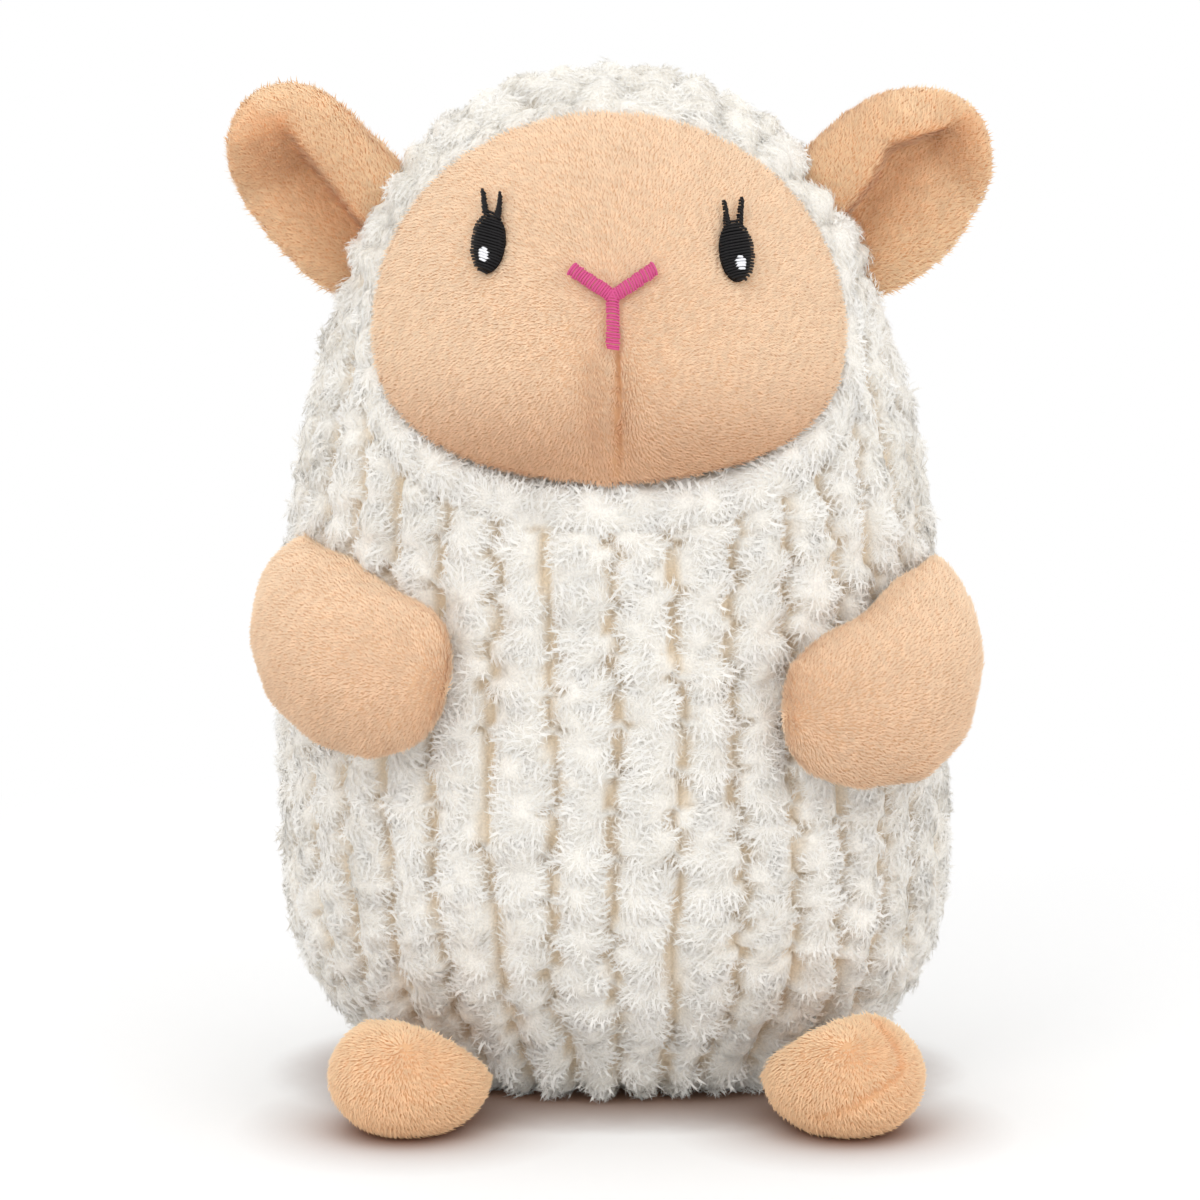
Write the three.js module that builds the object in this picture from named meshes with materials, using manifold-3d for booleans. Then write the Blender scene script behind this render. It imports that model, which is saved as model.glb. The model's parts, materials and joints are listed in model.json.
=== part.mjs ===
// A plush sheep that stands on its flat underside and faces -Y. Units are millimetres and +Z is up.
// The origin is the centre of the flat underside. Left and right are the toy's own: its left arm is on the +X side.
import * as THREE from "three";
import { mergeVertices } from "three/addons/utils/BufferGeometryUtils.js";
import Module from "manifold-3d";

const wasm = await Module();
wasm.setup();

// Driving dimensions of the torso, pile included
const bodyHeight = 250;
const bodyWidth = 171;
const bellyDepth = 68; // from the middle to the front of the belly
const backDepth = 61; // from the middle to the back
const widestHeight = 70;
const underCut = 3; // how far below the floor the round of the belly would close
const lean = -3; // how far the crown stands to the toy's right of the base
const rowDepth = 2.6; // of the valleys between rows of pile

// Walls: backing cloth with its pile
const woolWall = 6;
const plushWall = 3;
const baseWall = 3;
const clearance = 0.3; // between neighbouring pieces
const facetMargin = 0.5; // what flat facets need on top of that against a round neighbour
const rowCount = 34; // rows of pile round the torso
const sideRoundness = { upper: 2.4, lower: 3 }; // exponents of the superellipses that shape the torso
const frontRoundness = { upper: 2.9, lower: 2.1 };
const rowFadeShares = [0.35, 0.75]; // of the torso's width: rows fade out towards the crown and the base
const overrun = 60; // how far a cutting block reaches past what it cuts
const weldGap = 1e-4; // points closer than this become one

// Seams of the torso
const baseSeamHeight = 9;
const crownSeamDrop = 36; // below the top of the head
const sideSeamDepth = 4; // behind the middle

// Face. Its height follows the top of the head, and what is on it follows its widest height.
const faceWidth = 114;
const faceDrop = 9; // from the top of the head to its upper edge
const faceRise = 51; // from its widest height to its upper edge
const faceFall = 34; // from its widest height to its lower edge
const faceTop = bodyHeight - faceDrop;
const faceWidestHeight = faceTop - faceRise;
const faceBottom = faceWidestHeight - faceFall;
const faceRoundness = { upper: 2, lower: 2.4 };
const facePuff = 4; // how far the face stands out like a pillow
const puffSharpness = 5;
const muzzleBulge = 8;
const muzzleDrop = 14; // below the face's widest height
const muzzleSpread = 27;
const muzzleRise = 23;
const cheekOffset = 19;
const dartDepth = 3.4; // seam that runs from the nose down between the cheeks
const dartWidth = 4;
const dartDrop = 2; // below the face's widest height
const dartFade = 8;
const coreDepthShare = 1 / 3; // of the belly's depth: where the filling behind the face ends
const coreReachShare = 0.9; // of the face's outline that the filling reaches
const edgeShare = 0.97; // of the torso's half width: the front is taken as level beyond it

// Embroidery
const stitchProud = 0.8; // how far thread stands out of the cloth under the pile
const stitchSunk = 1;
const embroideryOffset = 1; // to the toy's left of the face's middle
const noseStroke = 2.8;
const noseRise = 9.5; // from the face's widest height to where the strokes of the nose meet
const noseTipRise = 6.3;
const noseTipOffset = 9.8;
const noseStemLength = 12;
const eyeOffset = 29;
const eyeWidth = 7.8;
const eyeLength = 13.6;
const lashWidth = 1.1;
const lashLength = 5.6;
const lashRootShare = 0.44; // of the eye's length above its centre
const lashSpreadShare = 0.18; // of its width either side
const glintWidth = 2;
const glintLength = 3.4;
const glintDropShare = 0.22; // of the eye's length below its centre
const patchCoreShare = 0.6; // of an oval patch: the ring of points within its edge
const eyes = {
  left: { side: 1, rise: 19, tilt: THREE.MathUtils.degToRad(9) },
  right: { side: -1, rise: 21, tilt: THREE.MathUtils.degToRad(10) },
};

// Ears
const earLowerWidth = 18.5; // from the ear's axis to its lower edge
const earCrest = 11.5; // from its axis to where the upper edge starts to fold over
const earCrestRise = 4; // how much further out that is halfway along
const earCrestFall = 8; // how far it comes back in at the tip
const earFoldRadius = 6.5;
const earFlap = 12.5; // folded cloth past the bend
const earLayer = 2.2;
const liningInset = 1.5; // how much smaller the lining is all round
const earCup = 4; // how far the tip curls to the front
const earPitch = THREE.MathUtils.degToRad(37); // above level
const earSink = 6; // how far the root runs into the head before it is trimmed
const earSwing = [-12, 18];
const earTaperShares = { last: 0.998, lower: [2.4, 0.62], upper: [4.5, 0.5], crest: 4 }; // how its edges close
const ears = {
  left: { side: 1, drop: 39, length: 41 }, // the drop is measured from the top of the head
  right: { side: -1, drop: 40, length: 38.5 },
};

// Arms. They hang from below the face, and their drops are measured from its lower edge.
const armWidth = 42;
const armThickness = 26;
const armRootDrop = 24;
const armPawDrop = 50;
const armStart = THREE.MathUtils.degToRad(80); // round the torso from its front
const armEnd = THREE.MathUtils.degToRad(26);
const armStandOff = 9.5;
const armRoundness = 2.5;
const armFullestShare = 0.62; // where along the arm it is widest
// Stations of the arm's spine: shares of its turn round the torso, of its drop and of its stand-off
const armPathShares = [
  [0, 0, -0.9],
  [0.2, 0.2, 0.15],
  [0.4, 0.55, 0.75],
  [0.6, 0.9, 1],
  [0.8, 1, 1.05],
  [1, 0.95, 0.9],
];
const armSwing = [0, 60];
const shoulderDrop = 13; // of the seam at its back end
const shoulderFrontDrop = 22;
const shoulderSeam = [THREE.MathUtils.degToRad(82), THREE.MathUtils.degToRad(56)];
const arms = {
  left: { side: 1, drop: 5 }, // this one is sewn on lower
  right: { side: -1, drop: 0 },
};

// Feet
const footWidth = 39;
const footLength = 45;
const footHeight = 29;
const footUnderCut = 1.5;
const footForward = 54; // from the middle of the torso to the middle of the foot
const footSplay = THREE.MathUtils.degToRad(14);
const footRoundness = 0.9;
const footHingeDepth = 33;
const footSwing = [0, 25];
const feet = {
  left: { side: 1, setIn: 32 }, // the middle of the foot, in from the torso's widest point
  right: { side: -1, setIn: 36 },
};

// Pouch of pellets that weights the base
const pouchWidth = 84;
const pouchDepth = 60;
const pouchHeight = 24;
const pouchSetBack = 4;
const pouchFloorTurn = -Math.PI / 5; // where its round side starts from the floor

const cream = new THREE.MeshStandardMaterial({ color: 0xebe7dc, roughness: 0.95, metalness: 0 });
const smoothCream = new THREE.MeshStandardMaterial({ color: 0xe4dccd, roughness: 0.9, metalness: 0 });
const peach = new THREE.MeshStandardMaterial({ color: 0xe9bd92, roughness: 0.92, metalness: 0 });
const black = new THREE.MeshStandardMaterial({ color: 0x1c1a1a, roughness: 0.55, metalness: 0 });
const white = new THREE.MeshStandardMaterial({ color: 0xf4f4f6, roughness: 0.5, metalness: 0 });
const pink = new THREE.MeshStandardMaterial({ color: 0xd9568b, roughness: 0.5, metalness: 0 });
const fibre = new THREE.MeshStandardMaterial({ color: 0xf2f1ee, roughness: 1, metalness: 0 });
const pouchCloth = new THREE.MeshStandardMaterial({ color: 0xd8d2c6, roughness: 0.9, metalness: 0 });

// A closed body from rings of equally many points, closed at both ends on one point each
function loft(rings, start, end) {
  const around = rings[0].length;
  const points = [...rings.flat(), start, end];
  const first = points.length - 2;
  const last = points.length - 1;
  const faces = [];
  for (let k = 0; k < around; k++) {
    const next = (k + 1) % around;
    for (let i = 0; i + 1 < rings.length; i++) {
      const a = i * around;
      const b = a + around;
      faces.push(a + k, a + next, b + next, a + k, b + next, b + k);
    }
    const top = (rings.length - 1) * around;
    faces.push(first, next, k, last, top + k, top + next);
  }
  const geometry = new THREE.BufferGeometry().setFromPoints(points);
  geometry.setIndex(faces);
  return geometry;
}

// A closed body between two grids of equally many points
function sheet(front, back) {
  const rows = front.length;
  const columns = front[0].length;
  const points = [...front.flat(), ...back.flat()];
  const behind = rows * columns;
  const faces = [];
  const quad = (a, b, c, d) => faces.push(a, b, c, a, c, d);
  for (let i = 0; i + 1 < rows; i++) {
    const first = i * columns;
    const last = first + columns - 1;
    for (let k = first; k < last; k++) {
      quad(k, k + 1, k + 1 + columns, k + columns);
      quad(behind + k + columns, behind + k + columns + 1, behind + k + 1, behind + k);
    }
    quad(first + columns, behind + first + columns, behind + first, first);
    quad(last, behind + last, behind + last + columns, last + columns);
  }
  const end = (rows - 1) * columns;
  for (let k = 0; k + 1 < columns; k++) {
    quad(k, behind + k, behind + k + 1, k + 1);
    quad(end + k + 1, behind + end + k + 1, behind + end + k, end + k);
  }
  const geometry = new THREE.BufferGeometry().setFromPoints(points);
  geometry.setIndex(faces);
  return solid(geometry);
}

// A closed geometry as a solid that can be joined and cut
function solid(geometry) {
  geometry.deleteAttribute("normal");
  geometry.deleteAttribute("uv");
  const merged = mergeVertices(geometry, weldGap);
  const vertProperties = new Float32Array(merged.attributes.position.array);
  const triVerts = new Uint32Array(merged.index.array);
  const made = new wasm.Manifold(new wasm.Mesh({ numProp: 3, vertProperties, triVerts }));
  if (made.volume() >= 0) return made;
  for (let i = 0; i < triVerts.length; i += 3) {
    [triVerts[i + 1], triVerts[i + 2]] = [triVerts[i + 2], triVerts[i + 1]];
  }
  return new wasm.Manifold(new wasm.Mesh({ numProp: 3, vertProperties, triVerts }));
}

// The largest body of a solid, without the slivers that a cut can leave
function largest(made) {
  return made.decompose().reduce((a, b) => (b.volume() > a.volume() ? b : a));
}

function mesh(name, made, material) {
  const { vertProperties, triVerts } = largest(made).getMesh();
  const geometry = new THREE.BufferGeometry();
  geometry.setAttribute("position", new THREE.BufferAttribute(new Float32Array(vertProperties), 3));
  geometry.setIndex(new THREE.BufferAttribute(new Uint32Array(triVerts), 1));
  geometry.computeVertexNormals();
  const piece = new THREE.Mesh(geometry, material);
  piece.name = name;
  return piece;
}

// A block between two corners
function block(low, high) {
  const box = new THREE.BoxGeometry(high[0] - low[0], high[1] - low[1], high[2] - low[2]);
  box.translate((low[0] + high[0]) / 2, (low[1] + high[1]) / 2, (low[2] + high[2]) / 2);
  return solid(box);
}

const reach = bodyWidth / 2 + overrun;
const above = bodyHeight + overrun;

function slab(low, high) {
  return block([-reach, -reach, low], [reach, reach, high]);
}

// What is left of the torso's full size at a height, from 1 at the widest to 0 at the crown
function swell(z, grow = 0, roundness = sideRoundness) {
  const upper = z > widestHeight;
  const span = upper ? bodyHeight - widestHeight + grow : widestHeight + underCut + Math.max(grow, 0);
  const exponent = upper ? roundness.upper : roundness.lower;
  const part = Math.min(1, Math.abs(z - widestHeight) / span);
  return Math.pow(1 - Math.pow(part, exponent), 1 / exponent);
}

function middleAt(z) {
  return (lean * z) / bodyHeight;
}

// A point of the torso's surface. The angle runs from the front towards the toy's left.
function torsoPoint(angle, z, grow = 0) {
  const inFront = Math.cos(angle) > 0;
  const depth = (inFront ? bellyDepth : backDepth) + grow;
  return new THREE.Vector3(
    middleAt(z) + (bodyWidth / 2 + grow) * swell(z, grow) * Math.sin(angle),
    -depth * swell(z, grow, inFront ? frontRoundness : sideRoundness) * Math.cos(angle),
    z,
  );
}

// Level direction away from the torso at an angle
function outward(angle) {
  const depth = Math.cos(angle) > 0 ? bellyDepth : backDepth;
  return new THREE.Vector3((2 * Math.sin(angle)) / bodyWidth, -Math.cos(angle) / depth, 0).normalize();
}

// The torso as one body, grown by a margin, with rows of pile if it has any
function torsoBody({ grow = 0, floor = 0, around = 60, steps = 11, rows = 0 }) {
  const top = bodyHeight + grow;
  const heights = [];
  for (let i = 0; i <= steps; i++) {
    const turn = (Math.PI / 2) * (1 - i / steps);
    heights.push(widestHeight - (widestHeight - floor) * Math.sin(turn));
  }
  for (let i = 1; i < 2 * steps; i++) {
    heights.push(widestHeight + (top - widestHeight) * Math.sin((Math.PI / 4) * (i / steps)));
  }
  const rings = heights.map((z) => {
    const fade = THREE.MathUtils.smoothstep(swell(z), ...rowFadeShares);
    return Array.from({ length: around }, (_, k) => {
      const angle = (2 * Math.PI * k) / around;
      const valley = rows ? rowDepth * fade * Math.abs(Math.cos((rows * angle) / 2)) ** 3 : 0;
      return torsoPoint(angle, z, grow - valley);
    });
  });
  const middle = new THREE.Vector3(0, 0, floor);
  return solid(loft(rings, middle, new THREE.Vector3(middleAt(top), 0, top)));
}

// Share of the face's half width or height in a direction from its centre
function faceEdge(turn) {
  const rise = Math.sin(turn) > 0 ? faceTop - faceWidestHeight : faceWidestHeight - faceBottom;
  const exponent = Math.sin(turn) > 0 ? faceRoundness.upper : faceRoundness.lower;
  const c = Math.abs(Math.cos(turn));
  const s = Math.abs(Math.sin(turn));
  const length = Math.pow(c ** exponent + s ** exponent, -1 / exponent);
  return [(faceWidth / 2) * Math.cos(turn) * length, rise * Math.sin(turn) * length];
}

// How far a point of the face lies from its centre, as a share of the way to the outline
function faceShare(x, z) {
  const rise = z > faceWidestHeight ? faceTop - faceWidestHeight : faceWidestHeight - faceBottom;
  const exponent = z > faceWidestHeight ? faceRoundness.upper : faceRoundness.lower;
  const a = Math.abs(x - middleAt(z)) / (faceWidth / 2);
  const b = Math.abs(z - faceWidestHeight) / rise;
  return Math.pow(a ** exponent + b ** exponent, 1 / exponent);
}

// The face's front: the torso's front, puffed out as a pillow, with two cheeks and a dart between them
function faceFront(x, z) {
  const across = Math.min(edgeShare, Math.abs(x - middleAt(z)) / ((bodyWidth / 2) * swell(z)));
  const front = bellyDepth * swell(z, 0, frontRoundness) * Math.sqrt(1 - across * across);
  const inside = 1 - Math.min(1, faceShare(x, z)) ** puffSharpness;
  const fromMiddle = Math.abs(x - middleAt(z));
  const fromMuzzle = z - (faceWidestHeight - muzzleDrop);
  const cheek = ((fromMiddle - cheekOffset) / muzzleSpread) ** 2 + (fromMuzzle / muzzleRise) ** 2;
  const dartTop = faceWidestHeight - dartDrop;
  const below = 1 - THREE.MathUtils.smoothstep(z, dartTop - dartFade, dartTop + dartFade);
  const dart = dartDepth * below * Math.exp(-((fromMiddle / dartWidth) ** 2));
  return -(front + inside * (facePuff + muzzleBulge * Math.exp(-cheek) - dart));
}

function facePoint(x, z, depth) {
  const step = clearance / 2;
  const across = (faceFront(x + step, z) - faceFront(x - step, z)) / (2 * step);
  const up = (faceFront(x, z + step) - faceFront(x, z - step)) / (2 * step);
  const normal = new THREE.Vector3(across, -1, up).normalize();
  return new THREE.Vector3(x, faceFront(x, z), z).addScaledVector(normal, -depth);
}

// A ring of points of the face at a share of the way to its outline
function faceRing(share, depth) {
  const around = 36;
  return Array.from({ length: around }, (_, k) => {
    const [across, up] = faceEdge((2 * Math.PI * k) / around);
    const z = faceWidestHeight + share * up;
    return facePoint(middleAt(z) + share * across, z, depth);
  });
}

function faceCentre(depth) {
  return facePoint(middleAt(faceWidestHeight), faceWidestHeight, depth);
}

// The face as a plate under its front
function facePlate(thickness, steps = 8) {
  const shares = Array.from({ length: steps }, (_, i) => (i + 1) / steps);
  const rings = [
    ...shares.map((share) => faceRing(share, 0)),
    ...shares.toReversed().map((share) => faceRing(share, thickness)),
  ];
  return solid(loft(rings, faceCentre(0), faceCentre(thickness)));
}

// The filling behind the face, from a depth under its front to a flat end inside the torso
function faceCore(depth, steps = 4) {
  const shares = Array.from({ length: steps }, (_, i) => (coreReachShare * (i + 1)) / steps);
  const flat = (point) => point.setY(-bellyDepth * coreDepthShare);
  const rings = [...shares.map((share) => faceRing(share, depth)), faceRing(coreReachShare, depth).map(flat)];
  return solid(loft(rings, faceCentre(depth), flat(faceCentre(depth))));
}

// A block of the face's outline, grown by a margin, from in front of the face to the middle of the torso
function faceBlock(grow, back) {
  const around = 36;
  const ring = (y) =>
    Array.from({ length: around }, (_, k) => {
      const [across, up] = faceEdge((2 * Math.PI * k) / around);
      const size = 1 + grow / Math.hypot(across, up);
      const z = faceWidestHeight + up * size;
      return new THREE.Vector3(middleAt(z) + across * size, y, z);
    });
  const at = (y) => new THREE.Vector3(middleAt(faceWidestHeight), y, faceWidestHeight);
  const front = -bellyDepth - overrun;
  return solid(loft([ring(front), ring(back)], at(front), at(back)));
}

// Embroidery that follows the face: an oval patch, and a stroke that can taper
function ovalPatch({ x, z, width, length, tilt, margin = 0, proud = stitchProud, sunk = stitchSunk }) {
  const around = 16;
  const ring = (share, depth) =>
    Array.from({ length: around }, (_, k) => {
      const turn = (2 * Math.PI * k) / around;
      const across = (width / 2 + margin) * share * Math.cos(turn);
      const up = (length / 2 + margin) * share * Math.sin(turn);
      const dx = across * Math.cos(tilt) - up * Math.sin(tilt);
      const dz = across * Math.sin(tilt) + up * Math.cos(tilt);
      return facePoint(x + dx, z + dz, depth);
    });
  const rings = [ring(patchCoreShare, -proud), ring(1, -proud), ring(1, sunk), ring(patchCoreShare, sunk)];
  return solid(loft(rings, facePoint(x, z, -proud), facePoint(x, z, sunk)));
}

function stroke({ from, to, widths, margin = 0, proud = stitchProud, sunk = stitchSunk, steps = 3 }) {
  const start = new THREE.Vector2(...from);
  const way = new THREE.Vector2(...to).sub(start);
  const along = way.clone().normalize();
  const side = new THREE.Vector2(-along.y, along.x);
  const rings = [];
  for (let i = 0; i <= steps; i++) {
    const extra = i === 0 ? -margin : i === steps ? margin : 0;
    const half = THREE.MathUtils.lerp(widths[0], widths[1], i / steps) / 2 + margin;
    const at = start.clone().addScaledVector(way, i / steps).addScaledVector(along, extra);
    const left = at.clone().addScaledVector(side, half);
    const right = at.clone().addScaledVector(side, -half);
    rings.push([
      facePoint(left.x, left.y, -proud),
      facePoint(right.x, right.y, -proud),
      facePoint(right.x, right.y, sunk),
      facePoint(left.x, left.y, sunk),
    ]);
  }
  const middle = (ring) => ring.reduce((sum, p) => sum.add(p), new THREE.Vector3()).divideScalar(ring.length);
  return solid(loft(rings, middle(rings[0]), middle(rings.at(-1))));
}

function noseSolid(margin = 0, sunk = stitchSunk) {
  const height = faceWidestHeight + noseRise;
  const middle = middleAt(height) + embroideryOffset;
  const common = { widths: [noseStroke, noseStroke], margin, sunk };
  const joint = [middle, height];
  const stemEnd = [middle, height - noseStemLength];
  const stem = stroke({ ...common, from: [middle, height + noseStroke / 2], to: stemEnd });
  return [-1, 1].reduce((made, side) => {
    const tip = [middle + side * noseTipOffset, height + noseTipRise];
    return made.add(stroke({ ...common, from: joint, to: tip }));
  }, stem);
}

// An eye with its two lashes, which lean with it
function eyeSolid({ side, rise, tilt }, margin = 0, sunk = stitchSunk) {
  const height = faceWidestHeight + rise;
  const x = middleAt(height) + embroideryOffset + side * eyeOffset;
  const lie = side * tilt;
  const made = ovalPatch({ x, z: height, width: eyeWidth, length: eyeLength, tilt: lie, margin, sunk });
  return [-1, 1].reduce((whole, lash) => {
    const rootRise = lashRootShare * eyeLength;
    const spread = lash * lashSpreadShare * eyeWidth;
    const from = [x + spread - rootRise * Math.sin(lie), height + rootRise * Math.cos(lie)];
    const to = [from[0] + spread / 2, from[1] + lashLength];
    return whole.add(stroke({ from, to, widths: [lashWidth, lashWidth / 2], margin, sunk }));
  }, made);
}

function glintSolid({ side, rise, tilt }, margin = 0, sunk = 0) {
  const height = faceWidestHeight + rise;
  const drop = glintDropShare * eyeLength;
  const x = middleAt(height) + embroideryOffset + side * (eyeOffset + drop * Math.sin(tilt));
  const common = { x, z: height - drop, width: glintWidth, length: glintLength, tilt: side * tilt };
  return ovalPatch({ ...common, margin, proud: stitchProud + clearance, sunk });
}

// A limb: rings along a spine, as wide and thick as its fullness there. Its thickness points away from the torso.
function limbBody({ spine, face, width, thickness, inset = 0, fullest, roundness, around = 14, steps = 10 }) {
  const length = spine.getLength();
  const rings = [];
  const trim = inset / length;
  const at = (share) => spine.getPointAt(THREE.MathUtils.clamp(share, 0, 1));
  for (let i = 1; i < steps; i++) {
    const share = 0.5 - 0.5 * Math.cos((Math.PI * i) / steps);
    const reachEnd = share < fullest ? (fullest - share) / fullest : (share - fullest) / (1 - fullest);
    const full = Math.pow(1 - Math.pow(reachEnd, roundness), 1 / roundness);
    const place = trim + share * (1 - 2 * trim);
    const along = spine.getTangentAt(THREE.MathUtils.clamp(place, 0, 1));
    const thick = face(place).addScaledVector(along, -face(place).dot(along)).normalize();
    const wide = new THREE.Vector3().crossVectors(along, thick);
    rings.push(
      Array.from({ length: around }, (_, k) => {
        const turn = (2 * Math.PI * (k + 0.5)) / around;
        return at(place)
          .addScaledVector(wide, (width / 2 - inset) * full * Math.cos(turn))
          .addScaledVector(thick, (thickness / 2 - inset) * full * Math.sin(turn));
      }),
    );
  }
  return solid(loft(rings, at(trim), at(1 - trim)));
}

// The space outside the seam that runs round a limb, past an offset from its spine
function beyondSeam({ spine, face, offset, overall }) {
  const steps = 8;
  const rings = [];
  for (let i = 0; i <= steps; i++) {
    const along = spine.getTangentAt(i / steps);
    const thick = face(i / steps).addScaledVector(along, -face(i / steps).dot(along)).normalize();
    const wide = new THREE.Vector3().crossVectors(along, thick);
    const past = i === 0 ? -overall : i === steps ? overall : 0;
    const end = spine.getPointAt(i / steps).addScaledVector(along, past);
    const at = (w, t) => end.clone().addScaledVector(wide, w).addScaledVector(thick, t);
    rings.push([at(-overall, offset), at(overall, offset), at(overall, overall), at(-overall, overall)]);
  }
  const middle = (ring) => ring.reduce((sum, p) => sum.add(p), new THREE.Vector3()).divideScalar(ring.length);
  return solid(loft(rings, middle(rings[0]), middle(rings.at(-1))));
}

// Cuts an obstacle away from a piece at every angle that the piece can swing to
function swingClear(piece, obstacle, { pivot, axis }, [low, high]) {
  const steps = 3;
  let left = piece;
  for (let i = 0; i <= steps; i++) {
    const turn = THREE.MathUtils.degToRad(THREE.MathUtils.lerp(low, high, i / steps));
    const back = new THREE.Matrix4()
      .makeTranslation(pivot)
      .multiply(new THREE.Matrix4().makeRotationAxis(axis, -turn))
      .multiply(new THREE.Matrix4().makeTranslation(pivot.clone().negate()));
    left = left.subtract(obstacle.transform(Array.from(back.elements)));
  }
  return left;
}

const envelope = torsoBody({ grow: clearance + facetMargin, floor: -underCut / 2 });

function torsoPieces() {
  const outer = torsoBody({ around: 3 * rowCount, rows: rowCount, steps: 6 });
  const inner = torsoBody({ grow: -woolWall, floor: baseWall, around: 28, steps: 4 });
  const filling = torsoBody({ grow: -woolWall - clearance, floor: baseWall + clearance, around: 28, steps: 4 });
  const shell = outer.subtract(inner);
  const half = clearance / 2;
  const crownSeamHeight = bodyHeight - crownSeamDrop;
  const wool = shell.subtract(faceBlock(clearance, 0));
  const middle = wool.intersect(slab(baseSeamHeight + half, crownSeamHeight - half));
  const front = block([-reach, -reach, 0], [reach, sideSeamDepth - half, above]);
  const backHalf = (side) =>
    block(
      [side > 0 ? half : -reach, sideSeamDepth + half, 0],
      [side > 0 ? reach : -half, reach, above],
    );
  const faceFilling = faceCore(plushWall + clearance + facetMargin);
  const sunk = stitchSunk + clearance;
  let face = facePlate(plushWall).subtract(noseSolid(clearance, sunk));
  const eyeParts = Object.entries(eyes).flatMap(([name, eye]) => {
    face = face.subtract(eyeSolid(eye, clearance, sunk));
    const patch = eyeSolid(eye).subtract(glintSolid(eye, clearance, clearance));
    return [mesh(`${name}_eye`, patch, black), mesh(`${name}_eye_glint`, glintSolid(eye), white)];
  });
  return [
    mesh("front_panel", middle.intersect(front), cream),
    mesh("left_back_panel", middle.intersect(backHalf(1)), cream),
    mesh("right_back_panel", middle.intersect(backHalf(-1)), cream),
    mesh("crown_panel", wool.intersect(slab(crownSeamHeight + half, above)), cream),
    mesh("base_panel", shell.intersect(slab(-overrun, baseSeamHeight - half)), smoothCream),
    mesh("torso_stuffing", filling.add(faceFilling).subtract(pouchSolid(clearance)), fibre),
    mesh("pellet_pouch", pouchSolid(0), pouchCloth),
    mesh("face_panel", face, peach),
    mesh("nose_embroidery", noseSolid(), pink),
    ...eyeParts,
  ];
}

// A flat bag that lies on the inside of the base
function pouchSolid(grow) {
  const floor = baseWall + clearance - grow;
  const height = pouchHeight + 2 * grow;
  const steps = 5;
  const around = 26;
  const rings = [];
  for (let i = 0; i < steps; i++) {
    const turn = THREE.MathUtils.lerp(pouchFloorTurn, Math.PI / 2, i / steps);
    const rise = (Math.sin(turn) - Math.sin(pouchFloorTurn)) / (1 - Math.sin(pouchFloorTurn));
    rings.push(
      Array.from({ length: around }, (_, k) => {
        const angle = (2 * Math.PI * k) / around;
        return new THREE.Vector3(
          (pouchWidth / 2 + grow) * Math.cos(turn) * Math.cos(angle),
          pouchSetBack + (pouchDepth / 2 + grow) * Math.cos(turn) * Math.sin(angle),
          floor + height * rise,
        );
      }),
    );
  }
  const middle = (z) => new THREE.Vector3(0, pouchSetBack, z);
  return solid(loft(rings, middle(floor), middle(floor + height)));
}

// One layer of an ear: a sheet whose upper edge folds over to the front. Depth is measured from the ear's back.
function earLayerSolid({ side, drop, length }, outer, inner, inset = 0) {
  const root = torsoPoint((side * Math.PI) / 2, bodyHeight - drop);
  const out = new THREE.Vector3(side * Math.cos(earPitch), 0, Math.sin(earPitch));
  const across = new THREE.Vector3(-side * Math.sin(earPitch), 0, Math.cos(earPitch));
  const forward = new THREE.Vector3(0, -1, 0);
  const bend = Math.PI * earFoldRadius;
  const place = (along, arc, crest, depth) => {
    const radius = earFoldRadius - depth;
    const turned = (arc - crest) / earFoldRadius;
    let up = arc;
    let front = depth;
    if (turned > Math.PI) {
      up = crest - (turned - Math.PI) * earFoldRadius;
      front = earFoldRadius + radius;
    } else if (turned > 0) {
      up = crest + radius * Math.sin(turned);
      front = earFoldRadius - radius * Math.cos(turned);
    }
    front += earCup * (along / length) ** 2 - earLayer;
    return root.clone().addScaledVector(out, along).addScaledVector(across, up).addScaledVector(forward, front);
  };
  const steps = 8;
  const arcs = 12;
  const grid = (depth) =>
    Array.from({ length: steps + 1 }, (_, i) => {
      const share = Math.sin((Math.PI / 2) * (i / steps)) * earTaperShares.last;
      const along = -earSink + (length + earSink - inset) * share;
      const fall = earCrestFall * share ** earTaperShares.crest;
      const crest = earCrest + earCrestRise * Math.sin(Math.PI * share) - fall;
      const close = ([power, root]) => Math.pow(1 - share ** power, root);
      const low = -(earLowerWidth - inset) * close(earTaperShares.lower);
      const high = (crest + bend + earFlap - inset) * close(earTaperShares.upper);
      return Array.from({ length: arcs + 1 }, (_, k) =>
        place(along, THREE.MathUtils.lerp(low, high, k / arcs), crest, depth),
      );
    });
  return sheet(grid(outer), grid(inner));
}

function earHinge({ side, drop }) {
  const pivot = torsoPoint((side * Math.PI) / 2, bodyHeight - drop);
  const axis = new THREE.Vector3(Math.sin(earPitch), 0, -side * Math.cos(earPitch));
  return { pivot, axis };
}

function earPieces() {
  return Object.entries(ears).flatMap(([name, ear]) => {
    const hinge = earHinge(ear);
    const back = swingClear(earLayerSolid(ear, 0, earLayer), envelope, hinge, earSwing);
    const space = earLayerSolid(ear, 0, earLayer + clearance / 2);
    const lining = earLayerSolid(ear, earLayer + clearance, 2 * earLayer + clearance, liningInset);
    const front = swingClear(lining.subtract(space), envelope, hinge, earSwing);
    return [mesh(`${name}_ear_back`, back, peach), mesh(`${name}_ear_lining`, front, peach)];
  });
}

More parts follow.
